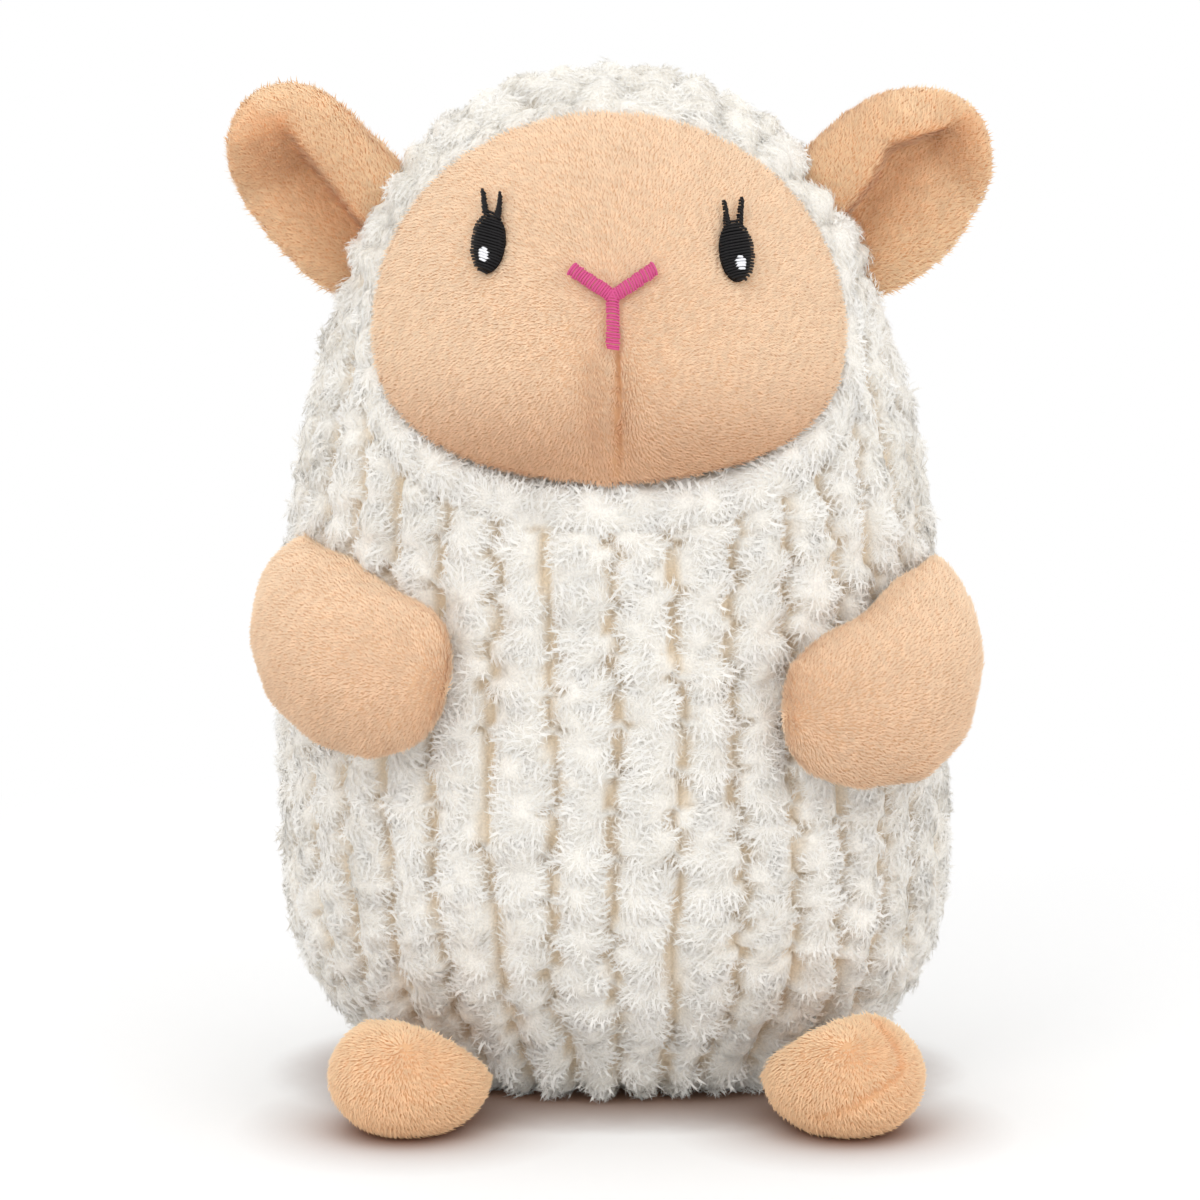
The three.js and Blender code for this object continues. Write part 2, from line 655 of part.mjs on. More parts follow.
// The arm's spine leaves the torso at the shoulder, swells away from it and comes round to the front of the belly
function armSpine({ side, drop }) {
  const points = armPathShares.map(([turnShare, dropShare, standOffShare]) => {
    const angle = side * THREE.MathUtils.lerp(armStart, armEnd, turnShare);
    const height = faceBottom - drop - THREE.MathUtils.lerp(armRootDrop, armPawDrop, dropShare);
    return torsoPoint(angle, height).addScaledVector(outward(angle), standOffShare * armStandOff);
  });
  return new THREE.CatmullRomCurve3(points);
}

function armHinge({ side, drop }) {
  const back = torsoPoint(side * shoulderSeam[0], faceBottom - shoulderDrop - drop, clearance);
  const front = torsoPoint(side * shoulderSeam[1], faceBottom - shoulderFrontDrop - drop, clearance);
  const axis = side > 0 ? front.clone().sub(back) : back.clone().sub(front);
  return { pivot: back, axis: axis.normalize() };
}

function armPieces() {
  return Object.entries(arms).flatMap(([name, arm]) => {
    const spine = armSpine(arm);
    const face = (share) => outward(arm.side * THREE.MathUtils.lerp(armStart, armEnd, share));
    const common = { spine, face, fullest: armFullestShare, roundness: armRoundness };
    const size = { width: armWidth, thickness: armThickness };
    const hinge = armHinge(arm);
    const clear = (made) => swingClear(made, envelope, hinge, armSwing);
    const whole = limbBody({ ...common, ...size });
    const hollow = limbBody({ ...common, ...size, inset: plushWall });
    const filling = limbBody({ ...common, ...size, inset: plushWall + clearance });
    const shell = clear(whole.subtract(hollow));
    const beyond = (offset) => beyondSeam({ spine, face, offset, overall: armWidth / 2 + plushWall });
    return [
      mesh(`${name}_arm_outer`, shell.intersect(beyond(clearance / 2)), peach),
      mesh(`${name}_arm_inner`, shell.subtract(beyond(-clearance / 2)), peach),
      mesh(`${name}_arm_stuffing`, clear(filling), fibre),
    ];
  });
}

function footOffset({ side, setIn }) {
  return side * (bodyWidth / 2 - setIn);
}

// A foot: a round pouch, cut flat where it stands
function footBody(foot, inset) {
  const around = 16;
  const steps = 8;
  const rings = [];
  const centre = new THREE.Vector3(footOffset(foot), -footForward, footHeight / 2 - footUnderCut);
  const turn = new THREE.Quaternion().setFromAxisAngle(new THREE.Vector3(0, 0, 1), foot.side * footSplay);
  const place = (x, y, z) => new THREE.Vector3(x, y, z).applyQuaternion(turn).add(centre);
  const length = footLength / 2 - inset;
  for (let i = 1; i < steps; i++) {
    const tip = (Math.PI * i) / steps;
    const full = Math.sin(tip) ** footRoundness;
    rings.push(
      Array.from({ length: around }, (_, k) => {
        const angle = (2 * Math.PI * (k + 0.5)) / around;
        return place(
          (footWidth / 2 - inset) * full * Math.cos(angle),
          -length * Math.cos(tip),
          ((footHeight + footUnderCut) / 2 - inset) * full * Math.sin(angle),
        );
      }),
    );
  }
  const whole = solid(loft(rings, place(0, -length, 0), place(0, length, 0)));
  return whole.intersect(slab(inset, above));
}

function footHinge(foot) {
  const pivot = new THREE.Vector3(footOffset(foot), -footHingeDepth, baseSeamHeight);
  return { pivot, axis: new THREE.Vector3(-1, 0, 0) };
}

function footPieces() {
  return Object.entries(feet).flatMap(([name, foot]) => {
    const hinge = footHinge(foot);
    const clear = (made) => swingClear(made, envelope, hinge, footSwing);
    const shell = clear(footBody(foot, 0).subtract(footBody(foot, plushWall)));
    const seam = footHeight / 2 - footUnderCut;
    const half = clearance / 2;
    return [
      mesh(`${name}_foot_upper`, shell.intersect(slab(seam + half, above)), peach),
      mesh(`${name}_foot_sole`, shell.intersect(slab(-overrun, seam - half)), peach),
      mesh(`${name}_foot_stuffing`, clear(footBody(foot, plushWall + clearance)), fibre),
    ];
  });
}

const sheep = new THREE.Group();
sheep.add(...torsoPieces(), ...earPieces(), ...armPieces(), ...footPieces());

export default sheep;
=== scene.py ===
import json
import math
from contextlib import contextmanager

import bmesh
import bpy
import numpy as np
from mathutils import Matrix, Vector
from mathutils.bvhtree import BVHTree
from mathutils.kdtree import KDTree


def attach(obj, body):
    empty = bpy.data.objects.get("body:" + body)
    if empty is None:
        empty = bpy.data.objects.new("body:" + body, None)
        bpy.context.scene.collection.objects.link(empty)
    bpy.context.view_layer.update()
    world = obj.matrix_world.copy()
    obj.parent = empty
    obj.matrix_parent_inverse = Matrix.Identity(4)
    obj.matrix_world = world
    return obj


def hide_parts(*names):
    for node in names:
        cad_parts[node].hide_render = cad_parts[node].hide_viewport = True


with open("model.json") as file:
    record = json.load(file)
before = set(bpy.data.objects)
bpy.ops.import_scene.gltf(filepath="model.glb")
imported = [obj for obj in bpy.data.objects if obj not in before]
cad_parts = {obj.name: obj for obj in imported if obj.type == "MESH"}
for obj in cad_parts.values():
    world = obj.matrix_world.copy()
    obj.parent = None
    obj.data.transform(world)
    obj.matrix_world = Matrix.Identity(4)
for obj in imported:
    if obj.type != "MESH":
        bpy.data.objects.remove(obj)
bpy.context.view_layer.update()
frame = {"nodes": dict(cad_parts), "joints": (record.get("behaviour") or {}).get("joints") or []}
mm = 0.001
white = (1, 1, 1, 1)
scene = bpy.context.scene

# The toy faces -Y and stands on z = 0. Left and right are its own.

# Small helpers.


def linear(red, green, blue):
    shares = [c / 255 for c in (red, green, blue)]
    return tuple(c / 12.92 if c <= 0.04045 else ((c + 0.055) / 1.055) ** 2.4 for c in shares) + (1.0,)


def smoothStep(value, low, high):
    t = np.clip((value - low) / (high - low), 0, 1)
    return t * t * (3 - 2 * t)


# 1 at 0, and about a third at the width.
def bell(value, width):
    return np.exp(-((value / width) ** 2))


# What is left of vectors when they are laid on a surface.
def alongSurface(vectors, normals):
    return vectors - normals * (vectors * normals).sum(-1, keepdims=True)


def openSocket(sockets, key):
    if isinstance(key, int):
        return sockets[key]
    return next(s for s in sockets if s.name == key and s.enabled)


def place(tree, kind, inputs=None, **settings):
    node = tree.nodes.new(kind)
    for key, value in settings.items():
        setattr(node, key, value)
    for key, value in (inputs or {}).items():
        socket = openSocket(node.inputs, key)
        if isinstance(value, bpy.types.NodeSocket):
            tree.links.new(value, socket)
        else:
            socket.default_value = value
    return node


def out(node, key=0):
    return openSocket(node.outputs, key)


def maths(tree, operation, a, b=0.0):
    return out(place(tree, "ShaderNodeMath", {0: a, 1: b}, operation=operation))


def plus(tree, a, b):
    return maths(tree, "ADD", a, b)


def times(tree, a, b):
    return maths(tree, "MULTIPLY", a, b)


def vectorMaths(tree, operation, a, b=(0.0, 0.0, 0.0)):
    node = place(tree, "ShaderNodeVectorMath", {0: a, 1: b}, operation=operation)
    return node.outputs["Value" if operation in ("LENGTH", "DOT_PRODUCT") else "Vector"]


def scaled(tree, vector, scale):
    return out(place(tree, "ShaderNodeVectorMath", {0: vector, "Scale": scale}, operation="SCALE"))


def mixed(tree, share, low, high):
    return out(place(tree, "ShaderNodeMix", {"Factor": share, 6: low, 7: high}, data_type="RGBA"), 2)


# A new group's sockets: each has its first value, which gives its kind, or only its kind's name.
def newTree(kind, name, inputs, outputs):
    tree = bpy.data.node_groups.new(name, kind + "NodeTree")
    kinds = {float: "Float", int: "Int", tuple: "Color"}
    for way, sockets in (("INPUT", inputs), ("OUTPUT", outputs)):
        for label, value in sockets.items():
            kind = value if isinstance(value, str) else kinds[type(value)]
            socket = tree.interface.new_socket(label, in_out=way, socket_type="NodeSocket" + kind)
            if value is not kind:
                socket.default_value = value
    return tree, place(tree, "NodeGroupInput").outputs, place(tree, "NodeGroupOutput").inputs


def linkedObject(name, data):
    made = bpy.data.objects.new(name, data)
    scene.collection.objects.link(made)
    return made


def makeObject(name, points, faces, edges=()):
    mesh = bpy.data.meshes.new(name)
    mesh.from_pydata([tuple(p) for p in points], edges, faces)
    mesh.validate()
    mesh.shade_smooth()
    return linkedObject(name, mesh)


def turnsOf(around):
    return 2 * math.pi * np.arange(around) / around


def ringFaces(first, rings, around):
    starts = range(first, first + (rings - 1) * around, around)
    pairs = [(k, (k + 1) % around) for k in range(around)]
    return [(a + k, a + around + k, a + around + n, a + n) for a in starts for k, n in pairs]


# A disc has a middle point, then rings of points.
def discFaces(rings, around):
    return [(0, 1 + k, 1 + (k + 1) % around) for k in range(around)] + ringFaces(1, rings, around)


# Two discs, front and back, closed at their edge.
def shellFaces(rings, around):
    faces = discFaces(rings, around)
    behind, last = 1 + rings * around, 1 + (rings - 1) * around
    faces += [tuple(v + behind for v in f[::-1]) for f in faces]
    pairs = [(last + k, last + (k + 1) % around) for k in range(around)]
    return faces + [(k, k + behind, n + behind, n) for k, n in pairs]


def tripletsOf(items, field):
    flat = np.empty(len(items) * 3)
    items.foreach_get(field, flat)
    return flat.reshape(-1, 3)


def pointsOf(piece):
    return tripletsOf(piece.data.vertices, "co")


def setPoints(piece, points):
    piece.data.vertices.foreach_set("co", np.asarray(points, float).ravel())
    piece.data.update()


def normalsOf(piece):
    return tripletsOf(piece.data.vertex_normals, "vector")


def unit(vectors):
    return vectors / np.maximum(np.linalg.norm(vectors, axis=-1, keepdims=True), 1e-9)


def setAttributes(piece, **attributes):
    for name, values in attributes.items():
        values = np.asarray(values, float)
        kind, field = ("FLOAT", "value") if values.ndim == 1 else ("FLOAT_VECTOR", "vector")
        held = piece.data.attributes.get(name) or piece.data.attributes.new(name, kind, "POINT")
        held.data.foreach_set(field, values.ravel())


def evaluated(piece):
    graph = bpy.context.evaluated_depsgraph_get()
    return bpy.data.meshes.new_from_object(piece.evaluated_get(graph), depsgraph=graph)


def withModifier(piece, kind, **settings):
    modifier = piece.modifiers.new(kind.lower(), kind)
    for key, value in settings.items():
        setattr(modifier, key, value)
    old, piece.data = piece.data, evaluated(piece)
    piece.modifiers.remove(modifier)
    bpy.data.meshes.remove(old)


# The mesh that a node tree makes of a piece.
def runNodes(piece, tree, values):
    modifier = piece.modifiers.new("nodes", "NODES")
    modifier.node_group = tree
    for item in tree.interface.items_tree:
        if item.in_out == "INPUT" and item.name in values:
            modifier[item.identifier] = values[item.name]
    piece.update_tag()
    mesh = evaluated(piece)
    piece.modifiers.remove(modifier)
    return mesh


# A mesh, opened for bmesh and then written back.
@contextmanager
def opened(mesh):
    work = bmesh.new()
    work.from_mesh(mesh)
    yield work
    work.to_mesh(mesh)
    work.free()


def bvhOf(mesh):
    work = bmesh.new()
    work.from_mesh(mesh)
    tree = BVHTree.FromBMesh(work)
    work.free()
    return tree


def outwardFaces(piece):
    with opened(piece.data) as work:
        bmesh.ops.recalc_face_normals(work, faces=work.faces)


def wear(piece, material):
    piece.data.materials.clear()
    piece.data.materials.append(material)


def settle(piece, body, nodes=()):
    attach(piece, body)
    if nodes:
        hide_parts(*nodes)


# Camera, lamps and floor.

studio = {
    "aim": (-4.4 * mm, 0, 118.6 * mm),
    "distance": 1250 * mm,
    "elevation": math.radians(9),
    "lens": 152.8,
    "key": {"place": (-0.75, -1.2, 1.15), "size": 0.9, "power": 5.5},
    "fill": {"place": (1.1, -1.0, 0.7), "size": 1.2, "power": 4.0},
    "top": {"place": (0.0, 0.25, 1.5), "size": 1.2, "power": 2.0},
    "world": 0.87,
    "floor": {
        "reach": 1.6, "shadowed": 0.12, "faded": 0.4, "lift": 0.1, "paint": 0.9, "bounce": 0.84,
        # The floor's painted shadow: its warm brown, how far from the toy it reaches, and how sharply it fades.
        "close": linear(150, 112, 90), "closeReach": 26 * mm, "closePower": 1.3,
    },
}


def makeCamera():
    data = bpy.data.cameras.new("camera")
    data.lens = studio["lens"]
    data.sensor_width = 36
    data.clip_start = 0.01
    camera = linkedObject("camera", data)
    away = Vector((0, -math.cos(studio["elevation"]), math.sin(studio["elevation"])))
    camera.location = Vector(studio["aim"]) + studio["distance"] * away
    camera.rotation_euler = (-away).to_track_quat("-Z", "Y").to_euler()
    scene.camera = camera


# 1 where a surface is seen by the camera, in a gloss or through something clear.
def directlySeen(tree):
    path = place(tree, "ShaderNodeLightPath").outputs
    seen = maths(tree, "MAXIMUM", path["Is Camera Ray"], path["Is Glossy Ray"])
    return maths(tree, "MAXIMUM", seen, path["Is Transmission Ray"])


def makeLamps():
    for name in ("key", "fill", "top"):
        lamp = studio[name]
        data = bpy.data.lights.new(name, "AREA")
        data.size = lamp["size"]
        data.energy = lamp["power"]
        light = linkedObject(name, data)
        light.location = lamp["place"]
        light.rotation_euler = (Vector(studio["aim"]) - light.location).to_track_quat("-Z", "Y").to_euler()
    world = bpy.data.worlds.new("studio")
    world.use_nodes = True
    tree = world.node_tree
    tree.nodes.clear()
    levels = {"Value": directlySeen(tree), "To Min": studio["world"], "To Max": 1.0}
    strength = out(place(tree, "ShaderNodeMapRange", levels))
    glow = place(tree, "ShaderNodeBackground", {"Color": white, "Strength": strength})
    place(tree, "ShaderNodeOutputWorld", {"Surface": out(glow)})
    scene.world = world


def makeFloor():
    look = studio["floor"]
    material = bpy.data.materials.new("floor")
    material.use_nodes = True
    tree = material.node_tree
    tree.nodes.clear()
    seen = directlySeen(tree)
    distance = vectorMaths(tree, "LENGTH", out(place(tree, "ShaderNodeTexCoord"), "Object"))
    levels = {"Value": distance, "From Min": look["shadowed"], "From Max": look["faded"]}
    far = times(tree, out(place(tree, "ShaderNodeMapRange", levels)), seen)
    levels = {"Value": seen, "To Min": look["bounce"], "To Max": look["paint"]}
    tone = out(place(tree, "ShaderNodeMapRange", levels))
    # Painted shadow: near the toy the Ambient Occlusion node turns the floor's colour warm brown, over the real
    # shadow, and there the floor gets no lift for the camera.
    nearness = place(tree, "ShaderNodeAmbientOcclusion", {"Distance": look["closeReach"]}, samples=16)
    clear = maths(tree, "POWER", out(nearness, "AO"), look["closePower"])
    clear = maths(tree, "MAXIMUM", clear, maths(tree, "SUBTRACT", 1.0, seen))
    colour = scaled(tree, mixed(tree, clear, look["close"], white), tone)
    paint = place(tree, "ShaderNodeBsdfDiffuse", {"Color": colour})
    lift = times(tree, times(tree, seen, clear), look["lift"])
    glow = place(tree, "ShaderNodeEmission", {"Color": white, "Strength": lift})
    both = place(tree, "ShaderNodeAddShader", {0: out(paint), 1: out(glow)})
    bright = place(tree, "ShaderNodeEmission", {"Color": white, "Strength": 1.0})
    whole = place(tree, "ShaderNodeMixShader", {0: far, 1: out(both), 2: out(bright)})
    place(tree, "ShaderNodeOutputMaterial", {"Surface": out(whole)})
    reach = look["reach"]
    corners = [(-reach, -reach, 0), (reach, -reach, 0), (reach, reach, 0), (-reach, reach, 0)]
    floor = makeObject("floor", corners, [(0, 1, 2, 3)])
    wear(floor, material)


makeCamera()
makeLamps()
makeFloor()
print("studio ready")

# Forms of the torso and the face, as the part has them.

torso = {
    "height": 250 * mm, "width": 171 * mm, "belly": 68 * mm, "back": 61 * mm, "widest": 70 * mm,
    "underCut": 3 * mm, "lean": -3 * mm, "sideRoundness": (2.4, 3.0), "frontRoundness": (2.9, 2.1),
    "baseSeam": 4 * mm, "crownSeam": 214 * mm, "sideSeam": 4 * mm,
}
face = {
    "width": 114 * mm, "top": 241 * mm, "widest": 190 * mm, "bottom": 156 * mm, "roundness": (2.0, 2.4),
    "puff": 4 * mm, "puffSharpness": 5, "edgeShare": 0.97,
    "bulge": 8 * mm, "muzzleHeight": 176 * mm, "spread": 27 * mm, "rise": 23 * mm, "cheekOffset": 19 * mm,
    "dart": 3.4 * mm, "dartWidth": 4 * mm, "dartTop": 188 * mm, "dartFade": 8 * mm,
}


def swell(z, grow, roundness):
    rise = z - torso["widest"]
    above = torso["height"] - torso["widest"] + grow
    below = torso["widest"] + torso["underCut"] + max(grow, 0)
    power = np.where(rise > 0, roundness[0], roundness[1])
    part = np.minimum(1, np.abs(rise) / np.where(rise > 0, above, below))
    return (1 - part**power) ** (1 / power)


def middleAt(z):
    return torso["lean"] * z / torso["height"]


def torsoPoints(angle, z, grow=0.0):
    inFront = np.cos(angle) > 0
    depth = np.where(inFront, torso["belly"], torso["back"]) + grow
    side = swell(z, grow, torso["sideRoundness"])
    thick = np.where(inFront, swell(z, grow, torso["frontRoundness"]), side)
    x = middleAt(z) + (torso["width"] / 2 + grow) * side * np.sin(angle)
    return np.stack([x, -depth * thick * np.cos(angle), z + 0 * angle], -1)


def faceEdge(turn):
    rise = np.where(np.sin(turn) > 0, face["top"] - face["widest"], face["widest"] - face["bottom"])
    power = np.where(np.sin(turn) > 0, *face["roundness"])
    length = (np.abs(np.cos(turn)) ** power + np.abs(np.sin(turn)) ** power) ** (-1 / power)
    return face["width"] / 2 * np.cos(turn) * length, rise * np.sin(turn) * length


def faceShare(x, z):
    above = z > face["widest"]
    rise = np.where(above, face["top"] - face["widest"], face["widest"] - face["bottom"])
    power = np.where(above, *face["roundness"])
    a = np.abs(x - middleAt(z)) / (face["width"] / 2)
    b = np.abs(z - face["widest"]) / rise
    return (a**power + b**power) ** (1 / power)


def torsoFront(x, z):
    wide = np.maximum(torso["width"] / 2 * swell(z, 0, torso["sideRoundness"]), mm)
    across = np.minimum(face["edgeShare"], np.abs(x - middleAt(z)) / wide)
    return torso["belly"] * swell(z, 0, torso["frontRoundness"]) * np.sqrt(1 - across * across)


def faceFront(x, z):
    inside = 1 - np.minimum(1, faceShare(x, z)) ** face["puffSharpness"]
    fromMiddle = np.abs(x - middleAt(z))
    cheek = ((fromMiddle - face["cheekOffset"]) / face["spread"]) ** 2
    cheek = cheek + ((z - face["muzzleHeight"]) / face["rise"]) ** 2
    below = 1 - smoothStep(z, face["dartTop"] - face["dartFade"], face["dartTop"] + face["dartFade"])
    dart = face["dart"] * below * bell(fromMiddle, face["dartWidth"])
    return -(torsoFront(x, z) + inside * (face["puff"] + face["bulge"] * np.exp(-cheek) - dart))


def faceNormals(x, z):
    step = 0.15 * mm
    across = (faceFront(x + step, z) - faceFront(x - step, z)) / (2 * step)
    up = (faceFront(x, z + step) - faceFront(x, z - step)) / (2 * step)
    return unit(np.stack([across, -np.ones_like(across), up], -1))


def facePoints(x, z, depth):
    surface = np.stack([x, faceFront(x, z), z], -1)
    return surface - faceNormals(x, z) * np.expand_dims(depth + 0 * x, -1)


# Shared shader effects.


# Pile colour. Where the height attribute is low the colour goes to a deeper colour that is painted shade: in wool
# valleys, in creases and hollows, and on low sides.
def makePileTone():
    colours = {"Root": white, "Tip": white, "Painted Shade": white}
    amounts = {"Strand Change": 0.1, "Patch Change": 0.1, "Patch Scale": 40.0, "Rise": 1.0}
    tree, given, made = newTree("Shader", "Pile tone", {**colours, **amounts}, {"Colour": "Color"})
    names = ("along", "shade", "height")
    along, shade, height = [out(place(tree, "ShaderNodeAttribute", attribute_name=n), "Fac") for n in names]
    where = out(place(tree, "ShaderNodeTexCoord"), "Object")
    noise = out(place(tree, "ShaderNodeTexNoise", {"Vector": where, "Scale": given["Patch Scale"]}), "Fac")
    strand = mixed(tree, maths(tree, "POWER", along, given["Rise"]), given["Root"], given["Tip"])
    byStrand = times(tree, maths(tree, "SUBTRACT", shade, 0.5), given["Strand Change"])
    byPatch = times(tree, maths(tree, "SUBTRACT", noise, 0.5), given["Patch Change"])
    light = plus(tree, plus(tree, byStrand, byPatch), 1.0)
    # Painted shade: the strand colour mixed towards the shade colour by the height attribute.
    tree.links.new(scaled(tree, mixed(tree, height, given["Painted Shade"], strand), light), made["Colour"])
    return tree


def makeGrain():
    inputs, outputs = {"Colour": white, "Scale": 900.0, "Depth": 0.5}, {"Colour": "Color", "Height": "Float"}
    tree, given, made = newTree("Shader", "Cloth grain", inputs, outputs)
    where = out(place(tree, "ShaderNodeTexCoord"), "Object")
    fine = {"Vector": where, "Scale": given["Scale"], "Detail": 4.0}
    fine = out(place(tree, "ShaderNodeTexNoise", fine), "Fac")
    coarse = out(place(tree, "ShaderNodeTexNoise", {"Vector": where, "Scale": 60.0}), "Fac")
    both = plus(tree, fine, times(tree, coarse, 0.4))
    change = times(tree, maths(tree, "SUBTRACT", both, 0.7), given["Depth"])
    tree.links.new(scaled(tree, given["Colour"], plus(tree, change, 1.0)), made["Colour"])
    tree.links.new(both, made["Height"])
    return tree


groups = {"tone": makePileTone(), "grain": makeGrain()}


def newMaterial(name, values):
    material = bpy.data.materials.new(name)
    material.use_nodes = True
    shader = material.node_tree.nodes["Principled BSDF"].inputs
    for label, value in values.items():
        shader[label].default_value = value
    return material, material.node_tree, shader


def addGrain(tree, shader, colour, scale, depth, strength, bump):
    values = {"Colour": colour, "Scale": scale, "Depth": depth}
    grain = place(tree, "ShaderNodeGroup", values, node_tree=groups["grain"])
    values = {"Height": out(grain, "Height"), "Strength": strength, "Distance": bump}
    tree.links.new(out(grain), shader["Base Color"])
    tree.links.new(out(place(tree, "ShaderNodeBump", values)), shader["Normal"])


def pileMaterial(name, tone, roughness, sheen, tint, bump=0.0, grainDepth=0.0):
    values = {"Roughness": roughness, "Specular IOR Level": 0.25}
    values.update({"Sheen Weight": sheen, "Sheen Roughness": 0.35, "Sheen Tint": tint})
    material, tree, shader = newMaterial(name, values)
    colour = out(place(tree, "ShaderNodeGroup", tone, node_tree=groups["tone"]))
    tree.links.new(colour, shader["Base Color"])
    if bump:
        addGrain(tree, shader, colour, 1800.0, grainDepth, 0.7, bump)
    return material


def clothMaterial(name, colour, scale, depth, bump, roughness):
    material, tree, shader = newMaterial(name, {"Roughness": roughness, "Specular IOR Level": 0.2})
    addGrain(tree, shader, linear(*colour), scale, depth, 0.6, bump * mm)
    return material


peach = linear(255, 232, 208)
# Root colours are darker and deeper than tips partly as painted shade between strands. A backing's root colour is
# its colour wherever it shows between strands.
woolTone = {
    "Root": linear(252, 247, 238), "Tip": linear(254, 253, 250), "Painted Shade": linear(230, 212, 186),
    "Strand Change": 0.06, "Patch Change": 0.08, "Patch Scale": 60.0, "Rise": 0.5,
}
plushTone = {
    "Root": linear(240, 197, 154), "Tip": linear(254, 231, 202), "Painted Shade": linear(214, 158, 114),
    "Strand Change": 0.15, "Patch Change": 0.06, "Patch Scale": 45.0, "Rise": 0.6,
}
deepTone = {
    **plushTone, "Root": linear(243, 191, 142), "Tip": linear(255, 228, 190), "Painted Shade": linear(240, 174, 116),
}
woolBacking = {**woolTone, "Root": linear(247, 243, 235)}
plushBacking = {**plushTone, "Root": linear(240, 199, 160)}
deepBacking = {**deepTone, "Root": linear(244, 194, 148)}
finishes = {
    "wool": pileMaterial("wool pile", woolTone, 0.6, 1.0, white),
    "plush": pileMaterial("peach plush", plushTone, 0.6, 1.0, peach),
    "deepPlush": pileMaterial("deep peach plush", deepTone, 0.6, 1.0, peach),
    "woolSkin": pileMaterial("wool backing", woolBacking, 0.9, 0.3, white, 0.12 * mm, 0.6),
    "plushSkin": pileMaterial("plush backing", plushBacking, 0.9, 0.5, peach, 0.06 * mm, 0.25),
    "deepPlushSkin": pileMaterial("deep plush backing", deepBacking, 0.9, 0.5, peach, 0.06 * mm, 0.25),
    "base": clothMaterial("base cloth", (238, 231, 219), 1500.0, 0.2, 0.25, 0.85),
    "black": clothMaterial("black thread", (24, 22, 23), 2500.0, 0.4, 0.05, 0.42),
    "white": clothMaterial("white thread", (246, 246, 250), 2500.0, 0.1, 0.05, 0.45),
    "pink": clothMaterial("pink thread", (214, 88, 142), 2500.0, 0.25, 0.05, 0.42),
    "fibre": clothMaterial("stuffing fibre", (240, 239, 235), 500.0, 0.25, 1.2, 1.0),
    "pouch": clothMaterial("pouch cloth", (216, 208, 194), 1600.0, 0.3, 0.2, 0.85),
}
print("finishes ready")

# Pile: tufts of curved blades, set on a skin and combed by its attribute.


# A tuft lies along its own Z, with X away from the cloth, so that its blades show their flat sides.
def makeTuft(name, shape):
    draw = np.random.default_rng(shape["seed"])
    points, faces, along = [], [], []
    for _ in range(shape["blades"]):
        turn = shape["fan"] * draw.uniform(-1, 1)
        end = turn + shape["hook"] * draw.uniform(-1, 1)
        rise = shape["lift"] * draw.uniform(0.1, 1)
        half = draw.uniform(0.65, 1) / 2
        root = np.array([0, *draw.uniform(-shape["scatter"], shape["scatter"], 2)])
        middle = root + half * np.array([rise, math.sin(turn), math.cos(turn)])
        tip = middle + half * np.array([rise - shape["droop"], math.sin(end), math.cos(end)])
        twist = shape["twist"] * draw.uniform(-1, 1)
        side = (turn + end) / 2
        across = np.array([math.sin(twist), math.cos(twist) * math.cos(side), -math.cos(twist) * math.sin(side)])
        across *= shape["width"] / 2
        first = len(points)
        points += [root, middle - across, middle + across, tip]
        along += [0, 0.5, 0.5, 1]
        faces += [(first, first + 2, first + 1), (first + 1, first + 2, first + 3)]
    tuft = makeObject(name, points, faces)
    setAttributes(tuft, along=along)
    return tuft


# A node tree ends in real meshes that wear the given material.
def endTree(tree, geometry, given, made):
    real = place(tree, "GeometryNodeRealizeInstances", {"Geometry": geometry})
    values = {"Geometry": out(real), "Material": given["Material"]}
    tree.links.new(out(place(tree, "GeometryNodeSetMaterial", values)), made["Geometry"])


